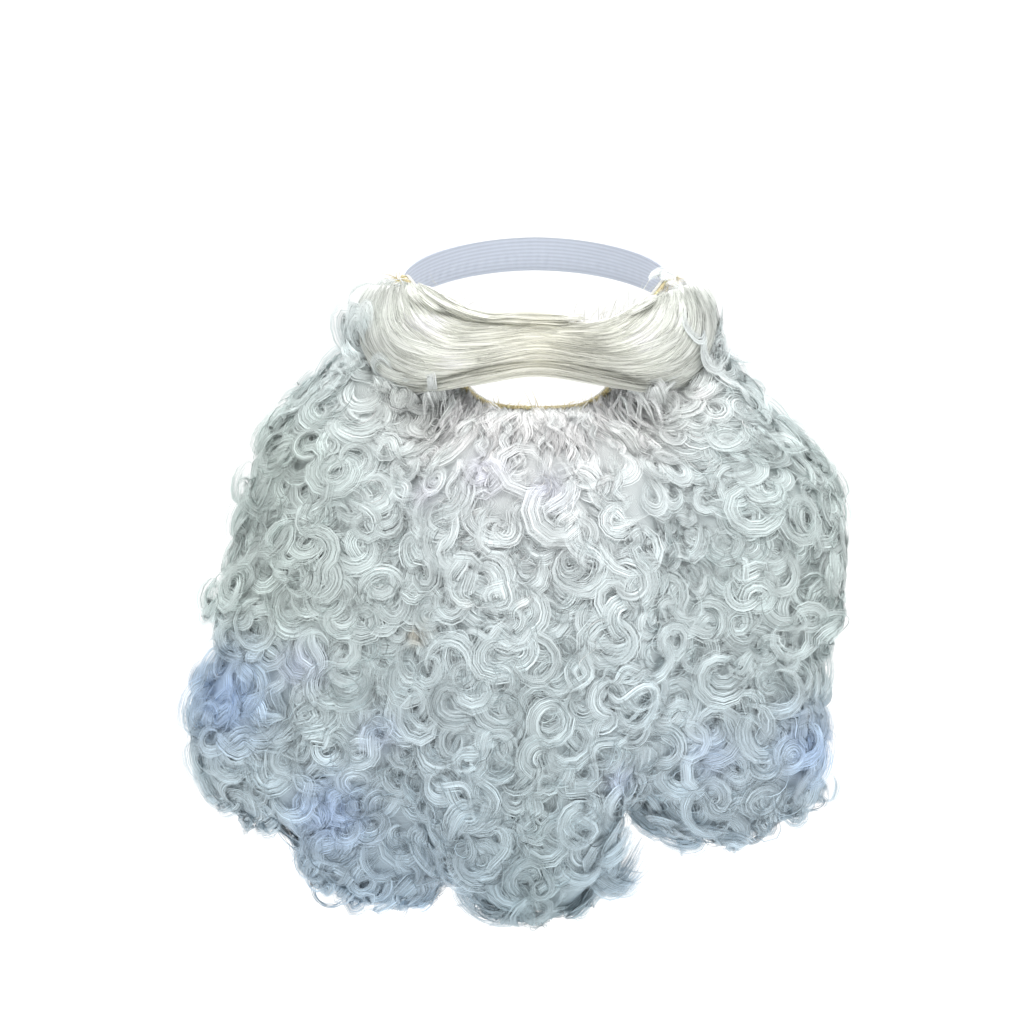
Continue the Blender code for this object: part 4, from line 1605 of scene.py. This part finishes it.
    def _guide(self, line: Line, along: np.ndarray) -> np.ndarray:
        """Places along a line given in the front view.

        Args:
            line: Its corners, in millimetres aside and up.
            along: Shares of its length.

        Returns:
            Places aside and up, by strand and point.
        """
        corners = np.array(line) * MM
        fine = smooth_rows(resampled(corners, 60)[None], 6)[0]
        return np.stack([np.interp(along, shares(len(fine))[0], fine[:, axis]) for axis in (0, 1)], axis=-1)

    def _dress(
        self, batch: Strands, lay: Lay, paths: np.ndarray, facing: np.ndarray, rng: np.random.Generator
    ) -> None:
        """Gives paths their size and colour and adds them.

        Args:
            batch: Where they go.
            lay: How they are made.
            paths: The paths.
            facing: The way that they face.
            rng: The seeded source of chance.
        """
        number, length, _ = paths.shape
        share = shares(length)
        taper = np.clip(np.minimum(share * 8 + 0.3, (1 - share) * 5 + 0.12), 0, 1)
        size = rng.uniform(0.7, 1.3, number)[:, None] * taper
        # painted highlight on moustache strands, worked out from their heading
        light = (0.84 + rng.normal(0, lay.uneven, number))[:, None] * painted_sheen(paths, 0.28)
        tones = np.clip(self.tone_at(paths) * light[:, :, None], 0.05, 0.97)
        seeds = rng.uniform(0, 50, number)
        batch.add(paths, facing, lay.width * size, lay.depth * size, lay.sides, tones, seeds)

    def wing(self, skin: Surface, side: float, rng: np.random.Generator) -> bpy.types.Object:
        """Makes the strands of one wing.

        Args:
            skin: The body under them.
            side: -1 for the left wing, 1 for the right.
            rng: The seeded source of chance.

        Returns:
            The piece.
        """
        batch = Strands("moustache_left" if side < 0 else "moustache_right")
        for lay, number in ((COMBED, self.ribbons), (FINE, self.threads)):
            paths, facing = self._paths(skin, lay, number, side, rng)
            self._dress(batch, lay, paths, facing, rng)
        self._veil(batch, side, rng)
        finish = HairFinish(
            "straight_hair",
            roughness=0.25,
            fibres_per_metre=1900.0,
            drift_per_metre=7.0,
            relief=0.0001,
            contrast=0.2,
            cut=0.36,
            painted_light=0.12,
        )
        return batch.build(finish.material())

    def _veil(self, batch: Strands, side: float, rng: np.random.Generator) -> None:
        """Adds loose hairs that stray up over the wing's upper edge.

        Args:
            batch: Where they go.
            side: -1 for the left wing, 1 for the right.
            rng: The seeded source of chance.
        """
        number, share = self.veil, shares(STRAY.steps)
        start = rng.uniform(0.15, 0.75, number)[:, None]
        base = self._guide(self.top_line, start + rng.uniform(0.0, 0.3, number)[:, None] * share)
        rise = rng.uniform(3, 17, number)[:, None] * MM
        x = base[..., 0] * (1 + rng.normal(0, 0.12, number)[:, None] * share)
        height = base[..., 1] - 3 * MM + rise * share
        height = height + rng.normal(0, 3, number)[:, None] * MM * np.sin(np.pi * share)
        out = 84 * MM + rng.uniform(2, 8, number)[:, None] * MM
        turn = np.arcsin(np.clip(x / out, 0, 0.97)) * side
        paths = np.stack([out * np.sin(turn), self.axis_y - 1.02 * out * np.cos(turn), height], axis=-1)
        facing = unit(paths - np.array([0.0, self.axis_y, 0.0]))
        self._dress(batch, STRAY, paths, facing, rng)

    def make(self, body: bpy.types.Object, rng: np.random.Generator) -> None:
        """Builds and rides every piece of the moustache.

        Args:
            body: The body under its strands.
            rng: The seeded source of chance.
        """
        skin = Surface(body)
        for piece in (body, self.wing(skin, -1.0, rng), self.wing(skin, 1.0, rng)):
            declare(piece, "moustache_hair")


@dataclass
class SewnEdge:
    """Yellow edging: a lumpy cord wrapped in slanted stitches with short loose ends."""

    node: str
    name: str
    pitch: float = 1.9 * MM
    thread: float = 0.75 * MM
    axis_y: float = 89.0 * MM
    fray: float = 4.0
    proud: float = 3.0 * MM
    sideburn_level: float = 9.0 * MM
    mouth_level: float = -30.0 * MM
    colour: tuple[float, float, float] = (0.84, 0.71, 0.36)

    def _tones(self, number: int, length: int, rng: np.random.Generator) -> np.ndarray:
        """Yellow that differs a little by thread.

        Args:
            number: How many threads.
            length: Points along each.
            rng: The seeded source of chance.

        Returns:
            Red, green and blue by thread and point.
        """
        light = 1 + rng.normal(0, 0.13, (number, 1, 1))
        pale = rng.uniform(0, 0.25, (number, 1, 1))
        yellow = np.array(self.colour) * (1 - pale) + pale * 0.85
        return np.clip(yellow * light, 0, 0.95) + np.zeros((1, length, 1))

    def make(self, rng: np.random.Generator) -> None:
        """Builds and rides the edging.

        Args:
            rng: The seeded source of chance.
        """
        line, radius = tube_route(self.node)
        span = np.linalg.norm(np.diff(line, axis=0), axis=1).sum()
        line = resampled(line, int(span / self.pitch) * 2)
        along = unit(np.gradient(line, axis=0))
        out = unit(np.stack([line[:, 0] * 1.5, line[:, 1] - self.axis_y, 0 * line[:, 0]], axis=1))
        side = unit(np.cross(along, out))
        way = {"line": line, "along": along, "side": side, "out": unit(np.cross(side, along))}
        batch = Strands(self.name)
        lumps = 1 + 0.12 * np.sin(np.arange(len(line)) * 1.9) + rng.normal(0, 0.05, len(line))
        girth = (2 * radius * 0.86 * lumps)[None, :]
        tones = self._tones(1, len(line), rng) * 0.8
        batch.add(line[None], way["out"][None], girth, girth, 8, tones, np.zeros(1))
        self._stitches(batch, way, radius, rng)
        self._frayed_ends(batch, way, radius, rng)
        finish = HairFinish("weft", roughness=0.5, shine=0.35, cut=-2.0, painted_light=0.0)
        declare(batch.build(finish.material()), self.node)

    def _stitches(self, batch: Strands, way: Traits, radius: float, rng: np.random.Generator) -> None:
        """Wraps slanted stitches round the outer half of the cord.

        Args:
            batch: Where they go.
            way: The cord's line with the ways along, beside and out of it, one row per point.
            radius: The cord's radius.
            rng: The seeded source of chance.
        """
        places = np.arange(1, len(way["line"]) - 2)
        line, along, side, out = (way[name][places][:, None, :] for name in ("line", "along", "side", "out"))
        number, steps = len(places), 6
        swing = np.linspace(-2.1, 2.1, steps)[None, :]
        lean = (np.where(places % 2, 1.0, -1.0) * rng.uniform(0.5, 1.1, number))[:, None] * self.pitch
        reach = (radius * rng.uniform(0.98, 1.2, number))[:, None]
        middle = line + along * (lean * swing / 2.1)[:, :, None]
        normal = out * np.cos(swing)[:, :, None] + side * np.sin(swing)[:, :, None]
        width = np.full((number, steps), self.thread)
        paths = middle + normal * reach[:, :, None]
        batch.add(paths, normal, width, width * 0.8, 4, self._tones(number, steps, rng), places * 0.1)

    def _frayed_ends(self, batch: Strands, way: Traits, radius: float, rng: np.random.Generator) -> None:
        """Adds short loose ends, most of them where the edging shows.

        Args:
            batch: Where they go.
            way: The cord's line with the ways along, beside and out of it, one row per point.
            radius: The cord's radius.
            rng: The seeded source of chance.
        """
        height = way["line"][2:-2, 2]
        shown = (height > self.sideburn_level) | (height < self.mouth_level)
        weight = 1.0 + self.fray * shown
        number, steps = int((len(way["line"]) - 3) * 1.6), 6
        ends = 2 + rng.choice(len(height), number, p=weight / weight.sum())
        line, along, side, out = (way[name][ends] for name in ("line", "along", "side", "out"))
        proud = (0.8 * radius + self.proud * (height > self.sideburn_level))[ends - 2][:, None, None]
        share = np.linspace(0, 1, steps)[None, :, None]
        heading = side * rng.normal(0, 1.0, (number, 1)) + out * 0.7
        heading = unit(heading + along * rng.normal(0, 0.8, (number, 1)))[:, None, :]
        length = rng.uniform(2.5, 8.0, (number, 1, 1)) * MM
        bend = rng.normal(0, 1.0, (number, 1, 3)) * share**2 * length * 0.5
        paths = line[:, None, :] + out[:, None, :] * proud + heading * length * share + bend
        fine = np.full((number, steps), 0.42 * MM) * (1.1 - share[:, :, 0])
        normals = np.broadcast_to(out[:, None, :], paths.shape)
        batch.add(paths, normals, fine, fine, 3, self._tones(number, steps, rng), ends * 0.3)


@dataclass
class FaceCloth:
    """Knitted cloth of the base and of the moustache band."""

    colour: tuple[float, float, float] = (0.74, 0.74, 0.70)
    base_flat: tuple[float, float] = (0.27, 0.075)
    base_area: float = 0.0168
    band_flat: tuple[float, float] = (0.145, 0.011)
    band_area: float = 0.001595

    def _piece(
        self, node: str, name: str, finish: bpy.types.Material
    ) -> None:
        """Dresses one sheet.

        Args:
            node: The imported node.
            name: The piece's name.
            finish: Its material.
        """
        piece = copy_node(node, name)
        piece.data.materials.append(finish)
        activate(piece)
        bpy.ops.object.shade_smooth_by_angle(angle=math.radians(40))
        declare(piece, node)

    def make(self) -> None:
        """Builds and rides both sheets."""
        finish = ClothFinish("cloth", self.colour).material()
        self._piece("beard_base", "base_cloth", finish)
        self._piece("moustache_band", "band_cloth", finish)


@dataclass
class ElasticStrap:
    """Ribbed elastic that goes round the back, from sideburn to sideburn."""

    width: float = 20.0 * MM
    length: float = 0.333
    middle_y: float = 0.09
    colour: tuple[float, float, float] = (0.66, 0.71, 0.82)

    def make(self) -> None:
        """Builds and rides the strap."""
        strap = copy_node("elastic_strap", "strap")
        points = point_array(strap)
        turn = np.arctan2(points[:, 0], points[:, 1] - self.middle_y)
        order = np.argsort(turn)
        rings = points[order].reshape(-1, 4, 3)
        turns = turn[order].reshape(-1, 4).mean(axis=1)
        low = np.sort(rings[:, :, 2], axis=1)[:, :2].mean(axis=1)
        centre = rings.mean(axis=1)
        travelled = np.concatenate([[0.0], np.cumsum(np.linalg.norm(np.diff(centre, axis=0), axis=1))])
        apply_modifier(strap, "finer", "SUBSURF", subdivision_type="SIMPLE", levels=1)
        points = point_array(strap)
        turn = np.arctan2(points[:, 0], points[:, 1] - self.middle_y)
        across = (points[:, 2] - np.interp(turn, turns, low)) / self.width
        along = np.interp(turn, turns, travelled)
        corners = np.empty(len(strap.data.loops), dtype=np.int32)
        strap.data.loops.foreach_get("vertex_index", corners)
        layer = strap.data.uv_layers.new(name=FIBRE)
        layer.data.foreach_set("uv", np.stack([across, along], axis=1)[corners].astype(np.float32).ravel())
        strap.data.materials.append(ElasticFinish("elastic", self.colour).material())
        activate(strap)
        bpy.ops.object.shade_smooth_by_angle(angle=math.radians(40))
        declare(strap, "elastic_strap")


@dataclass
class Studio:
    """Plain pale floor and backdrop, soft light and the camera."""

    floor_height: float = -0.62
    floor_half: float = 3.2
    back_rise: float = 4.0
    view_middle: tuple[float, float] = (-0.0145, -0.106)
    view_width: float = 0.571
    distance: float = 1.75
    sensor: float = 36.0
    ambient: float = 0.82
    lamps: tuple[tuple[str, tuple[float, float, float], float, float], ...] = (
        ("key", (-0.3, -1.8, 1.4), 1.8, 17.0),
        ("fill", (1.6, -1.4, 0.4), 1.8, 7.0),
        ("backdrop_wash", (0.0, 1.0, 2.2), 2.4, 60.0),
    )

    def floor(self) -> None:
        """Makes the floor with its backdrop."""
        deselect_all()
        bpy.ops.mesh.primitive_plane_add(size=2 * self.floor_half, location=(0, 0, self.floor_height))
        sweep = bpy.context.object
        sweep.name = "floor"
        bpy.ops.object.transform_apply(location=True, rotation=True, scale=True)
        bpy.ops.object.mode_set(mode="EDIT")
        bpy.ops.mesh.select_all(action="DESELECT")
        bpy.ops.object.mode_set(mode="OBJECT")
        for edge in sweep.data.edges:
            ends = [sweep.data.vertices[index].co.y for index in edge.vertices]
            edge.select = min(ends) > self.floor_half * 0.9
        bpy.ops.object.mode_set(mode="EDIT")
        bpy.ops.mesh.select_mode(type="EDGE")
        bpy.ops.mesh.extrude_region_move(TRANSFORM_OT_translate={"value": (0, 0, self.back_rise)})
        bpy.ops.object.mode_set(mode="OBJECT")
        apply_modifier(sweep, "round", "BEVEL", width=1.0, segments=12, limit_method="ANGLE")
        sweep.data.shade_smooth()
        sweep.data.materials.append(PlainFinish("studio_white", (0.92, 0.92, 0.92)).material())

    def light(self, name: str, place: Sequence[float], size: float, power: float) -> None:
        """Adds a soft area light that points at the beard.

        Args:
            name: Its name.
            place: Where it is.
            size: Its side.
            power: Its power in watts.
        """
        lamp = bpy.data.lights.new(name, "AREA")
        lamp.shape = "SQUARE"
        lamp.size = size
        lamp.energy = power
        holder = bpy.data.objects.new(name, lamp)
        holder.location = place
        aim = Vector((0, 0, -0.1)) - Vector(place)
        holder.rotation_euler = aim.to_track_quat("-Z", "Y").to_euler()
        bpy.context.scene.collection.objects.link(holder)

    def make(self) -> None:
        """Sets the whole studio."""
        self.floor()
        for lamp in self.lamps:
            self.light(*lamp)
        world = bpy.data.worlds.new("studio")
        world.use_nodes = True
        world.node_tree.nodes["Background"].inputs[0].default_value = (1.0, 1.0, 1.0, 1.0)
        world.node_tree.nodes["Background"].inputs[1].default_value = self.ambient
        scene = bpy.context.scene
        scene.world = world
        scene.view_settings.view_transform = "Standard"
        camera = bpy.data.cameras.new("camera")
        camera.sensor_width = self.sensor
        camera.lens = self.sensor * self.distance / self.view_width
        holder = bpy.data.objects.new("camera", camera)
        holder.location = (self.view_middle[0], -self.distance, self.view_middle[1])
        holder.rotation_euler = (math.pi / 2, 0, 0)
        scene.collection.objects.link(holder)
        scene.camera = holder


def main() -> None:
    """Builds the studio and every piece in order."""
    logging.basicConfig(level=logging.INFO, format="%(name)s %(message)s")
    rng = np.random.default_rng(SEED)
    Studio().make()
    FaceCloth().make()
    ElasticStrap().make()
    SewnEdge("beard_weft_edge", "beard_edging").make(rng)
    SewnEdge("moustache_weft_edge", "moustache_edging").make(rng)
    moustache = Moustache()
    wings = moustache.body()
    BeardHair().make(wings, rng)
    moustache.make(wings, rng)


if __name__ == "__main__":
    main()
